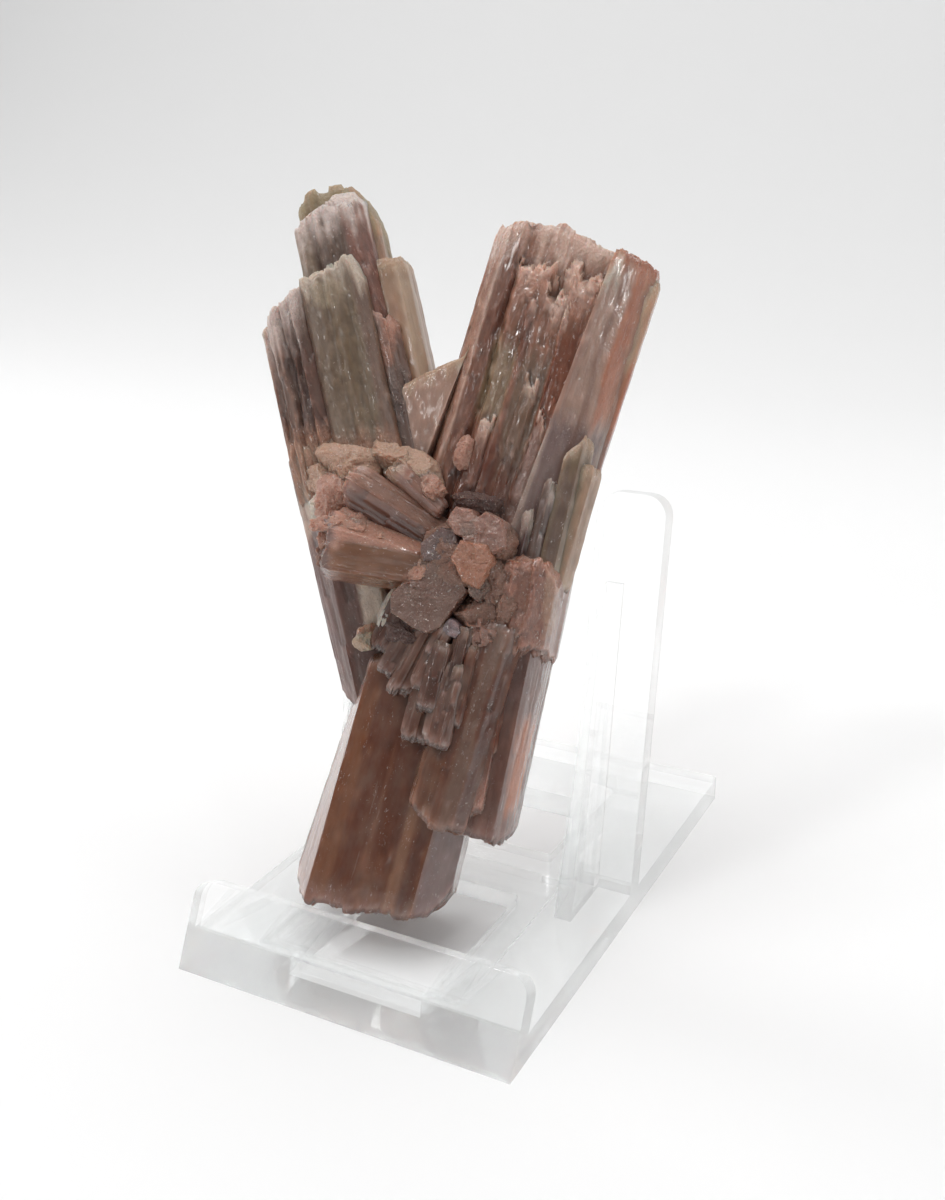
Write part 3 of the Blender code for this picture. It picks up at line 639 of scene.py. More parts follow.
crystal(arm, (14.0, 37.0, 4.2), (15.6, 46.0, 4.6),
        [(-0.8, -1.5), (0.8, -1.5), (0.8, 1.4), (0.1, 2.2), (-0.8, 1.8)], base=srgb(96, 84, 88), seed=38,
        striae=0.16, ledges=0.3, ragged=(0.2, 1.4), tip=WHITE, tip_mix=0.5, frost=3.0, step=(0.2, 0.35))

# Its lower left foot, amber and translucent.
foot = Part("lower_left_prism")
crystal(foot, (-0.9, -2.0, 0), (5.9, 30.4, 0),
        [(-9.9, 0.2), (-6.4, 5.9), (-2.0, 6.6), (2.2, 6.2), (5.8, 6.9), (9.0, 2.6), (8.4, -4.8),
         (4.0, -6.8), (-5.8, -6.2)],
        [(-8.0, 0.6), (-6.3, 6.1), (-2.0, 6.6), (2.0, 6.2), (5.6, 6.8), (7.6, 3.0), (7.0, -4.8),
         (4.0, -6.6), (-5.8, -5.8)],
        cuts=[((-1.4, 28.6, 6), (-0.35, 1, 0.4)), ((-10.2, 7.3, 0), (-1, -0.12, 0)),
              ((-9.6, 2.2, 6), (-0.62, -1, 0.1)), ((-5.9, 0.2, 6), (-0.02, -1, 0)),
              ((7.0, 0.2, 6), (0.9, -1, 0)), ((8.6, 2.6, 6), (1, -0.55, 0.1))],
        base=srgb(122, 87, 70), seed=41, striae=0.05, ragged=(0.8, 0.6), step=(0.22, 0.35), tip=DARK,
        tip_mix=0.2,
        bands=[(-10.6, -6.5, -4, 31, srgb(176, 158, 154), 0.95, 0.1),
               (-6.4, -4.2, -2, 24, srgb(140, 100, 74), 0.7, 0.0),
               (-1.4, 2.4, 8, 31, srgb(104, 68, 52), 0.6, 0.0),
               (2.3, 3.6, -3, 19, srgb(150, 120, 102), 0.75, 0.1),
               (4.0, 5.4, -3, 22, srgb(88, 66, 62), 0.6, 0.0),
               (5.9, 9.6, -3, 31, srgb(122, 102, 104), 0.8, 0.1),
               (-6.6, 6.6, -3, 1.6, srgb(122, 86, 78), 0.6, 0.6),
               (-0.9, -0.5, 6, 19, srgb(160, 122, 104), 0.5, 0.2),
               (-3.4, -1.8, 4, 16, srgb(104, 66, 50), 0.6, 0.0)],
        zones=[((-3.6, 12.0, 7.0), (1.6, 5.0, 4.0), srgb(96, 60, 46), 0.45, 0.0),
               ((1.4, 22.0, 7.0), (1.8, 6.0, 4.0), srgb(98, 62, 50), 0.4, 0.0),
               ((-7.0, 4.0, 4.0), (1.5, 3.0, 3.0), srgb(112, 84, 74), 0.6, 0.6)])

# Its lower right part.
low = Part("lower_right_prisms")
crystal(low, (6.9, 9.0, 0), (12.6, 34.0, 0),
        [(-3.6, 0), (-3.4, 6.4), (-2.6, 8.0), (2.2, 8.3), (3.7, 7.4), (3.7, 0)],
        cuts=[((4.5, 12.8, 7), (-0.8, -1, 0)), ((7.0, 10.5, 7), (-0.15, -1, 0.15)),
              ((10, 34, 8), (0, 1, 0.8))],
        base=srgb(116, 80, 64), seed=43, striae=0.12, ledges=0.12, ragged=(0.5, 0.8), step=(0.22, 0.35),
        tip=PINK, tip_mix=0.2,
        bands=[(-3.6, -2.6, 8, 26, srgb(170, 138, 122), 0.6, 0.3),
               (-2.4, -0.4, 9, 20, srgb(112, 82, 64), 0.6, 0.0),
               (0.6, 2.0, 8, 34, srgb(128, 110, 102), 0.8, 0.1),
               (2.2, 3.4, 8, 34, srgb(96, 66, 58), 0.7, 0.1),
               (-1.8, 0.4, 18, 34, srgb(92, 64, 54), 0.7, 0.0),
               (-3.6, 3.6, 7, 11.6, srgb(176, 146, 132), 0.45, 0.7)])
crystal(low, (12.1, 6.0, 0), (16.6, 40.5, 0),
        [(-3.4, -5.6), (1.2, -5.2), (2.5, -2.6), (2.3, 2.6), (1.2, 6.0), (-3.2, 6.8)],
        [(-4.4, -5.6), (1.4, -5.2), (2.9, -2.6), (2.7, 2.6), (1.4, 6.4), (-4.2, 6.8)],
        cuts=[((11.0, 9.7, 5), (-0.25, -1, 0.05)), ((14.2, 8.9, 4), (0.7, -1, 0))], base=srgb(128, 102, 96),
        seed=47, striae=0.10, ledges=0.1, ragged=(0.5, 0.6), step=(0.22, 0.35), tip=BROWN,
        bands=[(1.6, 3.0, 13, 23, srgb(196, 132, 96), 0.75, 0.1),
               (-3.6, -1.4, 12, 34, srgb(110, 74, 62), 0.6, 0.1),
               (-4.0, 3.4, 5, 12, srgb(124, 92, 84), 0.7, 0.3),
               (-1.2, 1.6, 24, 36, srgb(118, 98, 98), 0.7, 0.1)])
crystal(low, (11.4, 10.6, 0), (14.0, 31.0, 0), [(-1.0, 3.0), (-0.8, 7.3), (0.9, 7.5), (1.4, 3.0)],
        cuts=[((11.2, 11.6, 6), (0.2, -1, 0.3))], base=srgb(120, 84, 72), seed=53, striae=0.14, ledges=0.25,
        ragged=(0.8, 1.0), step=(0.2, 0.3),
        bands=[(-1.2, 1.4, 9, 17, srgb(170, 136, 124), 0.6, 0.8),
               (-0.4, 0.6, 18, 32, srgb(96, 62, 54), 0.6, 0.1)])
patch = fused(((-4.0, 3.2, 26, 46, 0.4, 0.3), (-3.4, -1.0, 30, 42, 0.9, 0.4),
               (-0.6, 1.6, 28, 41.6, 0.7, 0.4), (0.2, 2.9, 34, 43, 0.9, 0.6)),
              63, 0.16, 0.35)
crystal(low, (15.3, 28.6, 0), (17.0, 41.0, 0),
        [(-3.6, -4.0), (2.6, -3.6), (3.2, 1.0), (2.4, 5.8), (0.4, 7.4), (-3.4, 7.4)],
        cuts=[((15.7, 29.9, 8), (0.35, -1, 0.45)), ((16, 40.2, 8), (0.0, 1, 0.35)),
              ((19.3, 38.3, 6), (1, 0.5, 0.2))],
        base=srgb(146, 110, 96), seed=59, striae=0.1, ledges=0.1, ragged=(1.2, 0.8), tip=PINK, tip_mix=0.5,
        step=(0.17, 0.2), relief=patch,
        zones=[((16.0, 35.0, 8.0), (4.0, 6.0, 4.0), srgb(154, 114, 100), 0.7, 1.0),
               ((18.3, 36.0, 6.0), (0.8, 4.0, 4.0), CREAM, 0.4, 0.6)])

# The crossing individual, top towards the left.
left = Part("left_arm")
column(left, left_a, 46, 84, -4.2, 4.9, -6.0, 0.4, (0.8, 0.8), base=srgb(150, 138, 112), seed=61,
       striae=0.16, ledges=0.15, ragged=(0.5, 0.8), tip=srgb(186, 178, 150), tip_mix=0.6, frost=3.0,
       step=(0.22, 0.4),
       cuts=[((-14.5, 82.0, 0), (-0.8, 1, 0)), ((-9.5, 83.1, 0), (-0.18, 1, 0)),
             ((-7.6, 81.7, 0), (0.75, 1, 0)), ((-6.0, 79.0, 0), (1, 0.62, 0))],
       bands=[(2.2, 5.0, 60, 84, srgb(186, 150, 128), 0.7, 0.2)])
front_top = fused(((-4.8, -1.6, 50, 80.5, 0.3, 0.4), (-1.8, 1.2, 50, 82.0, 0.5, 0.5),
                   (1.0, 4.4, 50, 81.0, 0.3, 0.4)),
                  31, 0.2, 0.25)
column(left, left_a, 46, 81, -4.6, 4.3, -2.0, 2.4, (1.2, 1.2), base=srgb(116, 102, 94), seed=67,
       striae=0.10, ledges=0.0, ragged=(0.5, 0.9), tip=FROST, tip_mix=0.9, frost=3.8, step=(0.2, 0.3),
       relief=front_top, fine_from=62.0,
       cuts=[((-13.2, 78.6, 3), (-0.8, 1, 0.5)), ((-8.0, 80.0, 3), (-0.1, 1, 0.8)),
             ((-6.3, 79.0, 3), (0.9, 1, 0.5))],
       bands=[(1.8, 4.6, 56, 78, srgb(136, 92, 80), 0.8, 0.2), (-4.8, -2.4, 56, 77, GREY_GREEN, 0.75, 0.1)])
shoulder = fused(((-3.6, -1.7, 44, 68.0, 0.5, 0.5), (-1.9, 0.4, 44, 70.5, 0.9, 0.4),
                  (0.2, 1.9, 44, 72.4, 0.6, 0.4), (1.5, 4.2, 44, 73.0, 0.8, 0.4)),
                 37, 0.2, 0.3)
crystal(left, (left_a(45, -7.6), 45, 0), (left_a(71, -7.6), 71, 0),
        [(-3.5, -4.6), (2.4, -5.4), (4.0, 3.0), (2.0, 4.0), (-0.6, 3.7), (-2.8, 2.2), (-3.6, 0.2)],
        cuts=[((-18.6, 64.8, 3), (-1.2, 1, 0)), ((-15.3, 69.4, 4), (-0.5, 1, 0.3)),
              ((-11.6, 71.0, 4), (-0.1, 1, 0.35))],
        base=srgb(112, 90, 81), seed=71, striae=0.10, ledges=0.0, ragged=(0.5, 1.0), tip=FROST,
        tip_mix=0.85, frost=4.6, step=(0.18, 0.26), relief=shoulder,
        bands=[(-4.0, -2.2, 46, 68, srgb(150, 120, 108), 0.6, 0.3),
               (0.0, 2.2, 52, 70, srgb(96, 84, 84), 0.7, 0.2),
               (1.4, 4.2, 44, 62, srgb(104, 70, 58), 0.7, 0.0),
               (-0.9, -0.5, 46, 68, srgb(158, 134, 122), 0.5, 0.3),
               (-4.4, 4.4, 44, 53.0, srgb(176, 140, 120), 0.85, 0.9)])
greens = fused(((-4.7, -1.6, 44, 74.6, 0.3, 0.8), (-1.9, 0.8, 44, 77.2, 0.5, 0.9),
                (0.5, 3.1, 44, 74.6, 0.3, 0.9)),
               41, 0.05, 0.08)
crystal(left, (left_a(45, 0.0), 45, 0), (left_a(74, 0.0), 74, 0),
        [(-4.6, -3.0), (3.0, -3.0), (3.0, 4.0), (2.2, 4.7), (-3.9, 4.8), (-4.6, 4.2)],
        cuts=[((-9.6, 72.4, 5), (-0.6, 1, 0.3)), ((-8.0, 73.6, 5), (0.35, 1, 0.3)),
              ((-4.9, 70.4, 5), (1.0, 1, 0.3))],
        base=srgb(130, 118, 104), seed=73, striae=0.06, ledges=0.08, ragged=(0.5, 1.0),
        tip=srgb(222, 212, 200), tip_mix=0.95, frost=2.4, step=(0.18, 0.26), relief=greens,
        bands=[(-1.2, 1.4, 48, 68, srgb(126, 114, 94), 0.7, 0.0),
               (1.8, 3.2, 48, 71, srgb(120, 98, 88), 0.7, 0.2),
               (-4.7, -3.9, 46, 70, srgb(100, 84, 80), 0.7, 0.1),
               (-4.7, 3.2, 44, 53.0, srgb(176, 140, 120), 0.85, 0.9)],
        zones=[((-9.6, 68.5, 5.0), (2.4, 1.6, 3.0), srgb(186, 176, 156), 0.6, 0.4)])
column(left, left_a, 47, 68.2, 2.4, 5.4, -3, 3.7, (0.3, 1.6), cuts=[((-3.8, 67.4, 3), (0.6, 1, 0.4))],
       base=srgb(116, 98, 92), seed=83, striae=0.16, ledges=0.4, ragged=(0.5, 1.2), tip=PINK, tip_mix=0.6,
       frost=2.4, step=(0.2, 0.3),
       zones=[((-1.0, 56.0, 3.0), (1.6, 5.0, 3.0), SMOKE, 0.7, 0.8),
              ((-2.6, 63.0, 3.0), (1.0, 3.0, 3.0), PINK, 0.5, 0.9)])
column(left, left_a, 50, 74.4, 3.6, 7.3, -4.6, 1.4, (0.5, 1.2), base=srgb(182, 158, 138), seed=89,
       striae=0.06, ragged=(0.4, 0.4), tip=CREAM, tip_mix=0.8, frost=2.0, step=(0.2, 0.3),
       cuts=[((-3.3, 74.3, 1), (-0.2, 1, 0.1)), ((-2.0, 73.9, 1), (0.6, 1, 0.1))],
       bands=[(0.6, 2.0, 50, 74, srgb(206, 192, 176), 0.8, 0.1),
              (-0.8, 0.2, 50, 70, srgb(176, 140, 118), 0.6, 0.0),
              (-2.0, 2.0, 49, 58, srgb(150, 122, 110), 0.7, 0.1)])
crystal(left, (left_a(20.5, -6.8), 20.5, 0), (left_a(52, -6.6), 52, 0),
        [(-3.4, -4.6), (6.0, -5.6), (8.0, 1.0), (4.0, 4.2), (-1.2, 3.8), (-3.6, 1.2)],
        [(-4.5, -4.6), (6.0, -5.6), (8.0, 1.0), (4.0, 4.8), (-1.8, 4.4), (-4.6, 1.2)],
        cuts=[((-4.6, 23.0, 2), (-0.5, -1, 0)), ((-2.0, 21.6, 2), (0.1, -1, -0.2))], base=srgb(108, 82, 78),
        seed=97, striae=0.14, ledges=0.2, ragged=(0.8, 0.5), step=(0.24, 0.4),
        bands=[(-4.8, -3.2, 40, 54, srgb(164, 134, 122), 0.6, 0.3),
               (-3.8, -2.6, 24, 40, srgb(128, 100, 98), 0.6, 0.1),
               (-3.0, 7.0, 45.5, 53, srgb(176, 140, 120), 0.85, 0.9),
               (-0.6, 1.0, 24, 42, srgb(84, 62, 60), 0.6, 0.1), (1.6, 4.4, 30, 38.5, WHITE, 0.85, 0.5)],
        zones=[((-11.2, 44.0, 2.0), (1.5, 3.0, 4.0), WHITE, 0.75, 0.6)])

# The pale blade between the arms.
blade = Part("middle_blade")
crystal(blade, (2.6, 49.0, 0.8), (3.0, 64.0, 0.8),
        [(-3.4, -2.6), (4.6, -3.0), (4.6, 2.0), (2.0, 2.8), (-3.4, 2.4)],
        cuts=[((-0.2, 59.6, 2), (-0.46, 1, 0.1)), ((6.4, 63.0, 2), (0.75, 1, 0)),
              ((5.9, 60.5, 2), (1, -0.3, 0))],
        base=srgb(178, 152, 140), seed=101, striae=0.04, ragged=(0.3, 0.3), tip=CREAM, tip_mix=0.8,
        frost=1.6, step=(0.2, 0.3),
        zones=[((5.8, 62.2, 2.0), (1.6, 1.6, 3.0), WHITE, 0.9, 0.5),
               ((2.0, 50.4, 2.0), (5.0, 2.6, 3.0), srgb(120, 100, 90), 0.7, 0.1)])

# The centre: crusts, end-on crystals, plates and short prisms.
crust = Part("centre_crust", DEEP_CRUST)
for at, size, seed, spin, tone in (
    ((-5.2, 49.2, 3.6), (5.4, 3.3, 3.6), 3, -8, TAN), ((1.4, 49.2, 4.0), (4.0, 2.5, 3.4), 5, -22, TAN),
    ((-5.9, 44.6, 4.4), (3.1, 4.4, 3.8), 7, 20, PINK), ((7.4, 51.4, 4.8), (1.0, 1.9, 1.6), 11, -10, PINK),
    ((2.0, 44.6, 3.4), (4.8, 3.8, 3.8), 13, -30, DARK), ((-1.6, 30.6, 3.8), (1.8, 1.6, 3.0), 17, 0, TAN),
    ((-3.6, 42.6, 6.0), (3.6, 2.2, 3.8), 23, 12, PINK), ((13.6, 39.4, 3.6), (2.4, 2.6, 3.6), 29, 0, DARK),
    ((-8.6, 47.2, 3.4), (2.1, 2.6, 3.0), 33, 30, TAN), ((-1.4, 50.6, 4.4), (3.0, 1.8, 2.8), 35, -16, TAN),
    ((3.6, 47.6, 5.4), (2.4, 1.6, 2.4), 36, -30, PINK), ((-8.3, 43.8, 4.0), (1.4, 2.6, 2.6), 38, 14, WHITE),
    ((0.6, 33.2, 5.4), (1.3, 3.6, 1.8), 39, -14, WHITE), ((-1.8, 30.0, 6.0), (1.2, 1.0, 1.4), 40, 0, CREAM),
    ((4.0, 31.0, 5.2), (4.2, 2.4, 3.0), 44, -8, DARK), ((9.6, 45.6, 4.6), (3.6, 1.4, 3.0), 45, -6, DARK),
    ((8.6, 39.8, 6.2), (4.8, 4.6, 3.5), 46, 0, MATRIX), ((10.6, 34.0, 5.4), (3.8, 3.4, 3.6), 47, 0, MATRIX),
    ((12.4, 37.4, 6.0), (2.2, 3.4, 3.4), 48, 10, MATRIX), ((4.0, 37.8, 6.8), (2.2, 1.6, 2.6), 49, 30, PINK),
    ((12.9, 41.6, 5.6), (1.8, 2.6, 3.4), 50, -12, MATRIX),
    ((6.0, 36.6, 5.2), (4.0, 3.0, 3.4), 51, 0, MATRIX), ((-5.6, 42.3, 10.6), (1.9, 0.9, 1.7), 52, 8, PINK),
    ((-3.1, 42.0, 9.6), (1.9, 0.8, 1.7), 53, 4, PINK), ((-5.9, 41.0, 9.6), (0.9, 1.5, 1.6), 54, -10, PINK),
    ((-5.9, 38.9, 9.4), (0.8, 1.4, 1.5), 55, 6, MATRIX), ((-0.8, 41.2, 8.6), (1.6, 0.8, 1.6), 56, 4, PINK),
    ((13.6, 35.2, 6.6), (1.6, 2.0, 2.6), 57, 0, MATRIX),
):
    lump(crust, at, size, seed, spin, tone)


def uneven_hexagon(r, turned, seed):
    """A six-sided outline, its corners about r mm out and turned by so many degrees."""
    ring = []
    for k in range(6):
        angle = math.radians(60 * k + turned + 9 * math.sin(k * 3.1 + seed))
        ring.append((r * (1 + 0.13 * math.sin(k * 2.4 + seed)) * math.cos(angle),
                     r * (1 + 0.13 * math.cos(k * 1.7 + seed)) * math.sin(angle)))
    return ring


def end_on(points, at):
    """The section of a crystal that points at the viewer, from its outline in (a, b)."""
    return [(a - at[0], at[1] - b) for a, b in points]


centre = Part("centre_crystals", DEEP_CENTRE)
crystal(centre, (5.5, 41.5, 4.0), (-5.6, 47.8, 9.4),
        [(-2.6, -1.8), (-0.4, -2.6), (2.2, -1.6), (2.7, 0.8), (0.6, 2.4), (-2.0, 1.4)],
        cuts=[((-4.6, 47.9, 9), (-1, 0.35, 0.25))], base=srgb(130, 92, 76), seed=103, striae=0.16,
        ledges=0.2, ragged=(0.3, 1.2), tip=srgb(190, 156, 140), tip_mix=0.6, frost=1.0, step=(0.16, 0.24),
        bands=[(-3.0, -0.4, 40, 50, srgb(96, 56, 42), 0.85, 0.0),
               (0.4, 2.8, 40, 50, srgb(160, 124, 106), 0.6, 0.4)])
crystal(centre, (5.6, 44.5, 5.0), (-0.4, 49.6, 7.6),
        [(-1.3, -1.2), (1.3, -1.2), (1.6, 0.8), (0.2, 1.7), (-1.2, 1.0)], base=srgb(148, 112, 98), seed=104,
        striae=0.14, ledges=0.25, ragged=(0.3, 0.9), tip=CREAM, tip_mix=0.6, frost=1.2, step=(0.16, 0.24))
crystal(centre, (6.4, 38.2, 4.0), (-6.9, 39.6, 10.4),
        [(-2.8, -1.6), (-0.6, -2.9), (2.2, -2.2), (3.0, 0.4), (1.4, 2.6), (-1.6, 2.4)],
        [(-3.0, -1.4), (-0.6, -3.0), (3.2, -2.6), (4.8, 0.0), (2.6, 2.8), (-1.9, 2.5)],
        cuts=[((-6.4, 38.8, 10.5), (-1, 0.1, 0.15))], base=srgb(142, 106, 84), seed=107, striae=0.06,
        ragged=(0.3, 0.7), tip=srgb(128, 106, 102), tip_mix=0.85, frost=0.8, step=(0.18, 0.24),
        cap_rough=0.3, bands=[(1.6, 5.4, 36, 44, PINK, 0.85, 1.0)],
        zones=[((3.4, 36.4, 6.0), (1.6, 2.2, 3.0), PINK, 0.6, 0.3),
               ((-6.6, 40.6, 12.0), (2.6, 1.2, 3.0), PINK, 0.8, 1.0)])
for (a, b, c), r, turned, tone, seed in (
    ((6.5, 40.9, 9.4), 2.4, 10, srgb(124, 104, 102), 109),
    ((8.9, 43.5, 9.9), 1.9, 0, srgb(176, 138, 124), 113),
    ((11.2, 42.4, 10.1), 2.6, 22, srgb(170, 134, 121), 127),
    ((10.3, 39.3, 10.7), 2.6, 5, srgb(182, 132, 106), 131),
    ((10.9, 37.0, 9.7), 1.6, 15, srgb(138, 118, 108), 137),
    ((8.3, 32.2, 9.2), 1.3, 8, srgb(150, 132, 136), 139),
):
    crystal(centre, (a + 0.4, b - 0.2, 2.0), (a, b, c), uneven_hexagon(r, turned, seed), base=tone * 0.75,
            seed=seed, striae=0.16, ragged=(0.2, 0.3), round_off=0.05, cap_rough=0.14, tip=tone,
            tip_mix=0.95, frost=0.9, step=(0.16, 0.35))
plate = [(1.3, 35.4), (2.6, 36.9), (4.6, 37.3), (5.2, 39.3), (8.2, 39.0), (10.0, 36.4), (8.6, 34.2),
         (7.4, 32.4), (5.8, 31.3), (3.4, 32.3), (1.5, 33.4)]
crystal(centre, (5.4, 35.2, 3.0), (5.4, 35.2, 9.4), end_on(plate, (5.4, 35.2)), base=srgb(96, 68, 58),
        seed=149, striae=0.14, ragged=(0.2, 0.25), round_off=0.05, cap_rough=0.07, tip=srgb(132, 102, 88),
        tip_mix=0.9, frost=0.6, step=(0.2, 0.35))
rough = [(9.3, 34.2), (12.9, 35.0), (13.4, 31.2), (11.0, 30.2), (9.6, 31.4)]
crystal(centre, (11.2, 32.6, 3.0), (11.2, 32.6, 8.8), end_on(rough, (11.2, 32.6)), base=srgb(130, 98, 88),
        seed=151, striae=0.2, ragged=(0.2, 0.8), round_off=0.1, cap_rough=0.35, tip=srgb(170, 134, 120),
        tip_mix=0.8, frost=0.8, step=(0.18, 0.35))
SHORT_TONES = srgb(96, 68, 58), srgb(108, 78, 66), srgb(118, 90, 80)
# The short prisms get a stronger painted highlight on raised edges and painted shade in creases.
for k, (a0, b0, a1, b1, w, f) in enumerate((
    (0.8, 26.2, 4.8, 34.0, 1.5, 8.0), (2.3, 24.4, 6.2, 33.0, 1.5, 8.5), (4.6, 25.0, 7.8, 33.0, 1.3, 9.0),
    (-0.4, 28.8, 2.6, 36.0, 1.6, 7.2), (4.6, 19.4, 6.5, 29.0, 1.9, 8.2), (7.1, 19.2, 8.8, 29.0, 1.8, 9.2),
    (6.0, 22.6, 7.6, 31.0, 1.4, 9.4), (9.2, 21.2, 10.8, 31.0, 1.1, 8.7), (10.5, 23.0, 12.0, 31.0, 0.9, 8.1),
    (8.3, 25.2, 9.7, 33.0, 1.2, 9.1),
)):
    crystal(centre, (a0, b0, 0), (a1, b1, 0),
            [(-w, 1.0), (-w * 0.9, f - 0.7), (-w * 0.3, f), (w * 0.7, f - 0.2), (w, f - 1.0), (w, 1.0)],
            cuts=[((a0, b0 + 0.25, f), (-0.3, -1, 0.3))], base=SHORT_TONES[k % 3], seed=157 + k,
            striae=0.14, ledges=0.3, ragged=(0.6, 0.5), tip=CREAM, tip_mix=0.25, step=(0.17, 0.25),
            edge_highlight_crease_shade=9.0)


# Materials.
class Wires:
    """Adds nodes to one tree. Each input is a value, or another node's socket that feeds it."""

    def __init__(self, tree):
        self.nodes, self.links = tree.nodes, tree.links

    def feed(self, socket, value):
        if isinstance(value, bpy.types.NodeSocket):
            self.links.new(value, socket)
        else:
            socket.default_value = value

    def add(self, kind, inputs, **settings):
        node = self.nodes.new("ShaderNode" + kind)
        for key, value in settings.items():
            setattr(node, key, value)
        for key, value in inputs.items():
            self.feed(node.inputs[key], value)
        return node

    def calc(self, kind, *values):
        return self.add("Math", dict(enumerate(values)), operation=kind).outputs[0]

    def products(self, a, b, c, d):
        """a times b, plus c times d."""
        return self.calc("ADD", self.calc("MULTIPLY", a, b), self.calc("MULTIPLY", c, d))

    def ramp(self, value, low, high, a=0.0, b=1.0, shape="LINEAR"):
        """The range from low to high becomes a to b."""
        inputs = {0: value, 1: low, 2: high, 3: a, 4: b}
        return self.add("MapRange", inputs, interpolation_type=shape).outputs[0]

    def mix(self, kind, share, under, over):
        return self.add("Mix", {0: share, 6: under, 7: over}, data_type="RGBA", blend_type=kind).outputs[2]

    def noise(self, vector, scale, detail, rough=0.5, distortion=0.0):
        inputs = {"Vector": vector, "Scale": scale, "Detail": detail, "Roughness": rough,
                  "Distortion": distortion}
        return self.add("TexNoise", inputs).outputs["Fac"]


def new_material(name):
    mat = bpy.data.materials.new(name)
    mat.use_nodes = True
    return mat, Wires(mat.node_tree), mat.node_tree.nodes["Principled BSDF"]


def growth_lines():
    """Growth lines, pale flecks that are partly real specks and partly painted glints, and grit, from a
    crystal's own coordinates in mm.
    """
    tree = bpy.data.node_groups.new("growth_lines", "ShaderNodeTree")
    face = tree.interface
    face.new_socket("Grain", in_out="INPUT", socket_type="NodeSocketVector")
    face.new_socket("Crust", in_out="INPUT", socket_type="NodeSocketFloat")
    for name in ("Lines", "Flecks", "Height", "Shade"):
        face.new_socket(name, in_out="OUTPUT", socket_type="NodeSocketFloat")
    wires = Wires(tree)
    inp, out = tree.nodes.new("NodeGroupInput"), tree.nodes.new("NodeGroupOutput")

    def drawn_out(lengthwise):
        """The crystal's coordinates, shortened along its axis so that marks grow long."""
        inputs = {0: inp.outputs["Grain"], 1: (1, 1, lengthwise)}
        return wires.add("VectorMath", inputs, operation="MULTIPLY").outputs[0]

    crusted = inp.outputs["Crust"]
    calm = wires.calc("SUBTRACT", 1.0, crusted)
    lines = wires.noise(drawn_out(0.1), 1.5, 3.0, 0.5, 0.5)
    wide = wires.noise(drawn_out(0.05), 0.8, 2.0)
    grit = wires.noise(drawn_out(0.8), 5.5, 4.0, 0.7, 0.4)
    cloud = wires.noise(drawn_out(0.5), 0.45, 3.0, 0.6)
    facet = wires.add("TexVoronoi", {"Vector": drawn_out(0.7), "Scale": 3.6}).outputs["Distance"]
    # Pale specks, partly real and partly painted glints, most of them in the crust.
    fleck = wires.ramp(wires.noise(drawn_out(0.5), 3.4, 3.0, 0.75, 0.6), 0.62, 0.70)
    patch = wires.ramp(wires.noise(drawn_out(0.3), 0.5, 2.0), 0.44, 0.60)
    streaks = wires.products(lines, 0.55, wide, 0.45)
    mixed = wires.products(streaks, calm, grit, crusted)
    speck = wires.calc("MULTIPLY", fleck, wires.products(patch, 0.4, crusted, 0.9))
    rough = wires.products(grit, 1.2, facet, 1.0)
    rough_share = wires.calc("ADD", wires.calc("MULTIPLY", crusted, 1.2), 0.08)
    fleck_share = wires.calc("ADD", wires.calc("MULTIPLY", crusted, 0.5), 0.05)
    height = wires.products(wires.calc("MULTIPLY", streaks, calm), 0.45, rough, rough_share)
    height = wires.calc("ADD", height, wires.calc("MULTIPLY", fleck, fleck_share))
    for name, value in (("Lines", wires.ramp(mixed, 0.34, 0.66)), ("Flecks", speck), ("Height", height),
                        ("Shade", wires.ramp(cloud, 0.3, 0.7))):
        wires.feed(out.inputs[name], value)
    return tree


GRAIN = growth_lines()
CRYSTAL_IOR, GLOW_DEPTH, COAT_ROUGHNESS = 1.6, 0.0014, 0.12
# The second colour is that of the pale specks, which partly stand as painted glints.
CLOUDED, SPECK_AND_GLINT_TONE = (0.62, 0.50, 0.42, 1.0), (0.88, 0.78, 0.72, 1.0)
CRUST_ROUGHER = 0.16
BUMP_HEIGHT = 0.00022


def crystal_material(name, roughness, glow, glow_radius, shade, line_strength, bump, coat):
    """Painted crystal: growth lines darker by shade, light just under the surface, a glossy coat."""
    mat, wires, shader = new_material(name)
    grain, tint, crust = (wires.add("Attribute", {}, attribute_name=a) for a in ("grain", "tint", "crust"))
    tint, crust = tint.outputs["Color"], crust.outputs["Fac"]
    group = wires.add("Group", {"Grain": grain.outputs["Vector"], "Crust": crust}, node_tree=GRAIN).outputs
    lined = wires.mix("MULTIPLY", 1.0, tint, shade)
    clouded = wires.mix("MIX", 0.5, tint, CLOUDED)
    colour = wires.mix("MIX", wires.ramp(group["Lines"], 0.0, 1.0, line_strength, 0.0), tint, lined)
    colour = wires.mix("MIX", wires.ramp(group["Shade"], 0.0, 1.0, 0.0, 0.22), colour, clouded)
    smooth = wires.ramp(group["Lines"], 0.0, 1.0, roughness + 0.12, roughness - 0.06)
    raised = wires.add("Bump", {"Height": group["Height"], "Strength": bump, "Distance": BUMP_HEIGHT})
    for socket, value in (
        ("Base Color", wires.mix("MIX", group["Flecks"], colour, SPECK_AND_GLINT_TONE)),
        ("Roughness", wires.calc("MULTIPLY_ADD", crust, CRUST_ROUGHER, smooth)),
        ("Normal", raised.outputs["Normal"]),
        ("Subsurface Weight", glow), ("Subsurface Radius", glow_radius), ("Subsurface Scale", GLOW_DEPTH),
        ("IOR", CRYSTAL_IOR),
        ("Coat Weight", coat), ("Coat Roughness", COAT_ROUGHNESS), ("Coat IOR", CRYSTAL_IOR),
    ):
        wires.feed(shader.inputs[socket], value)
    return mat


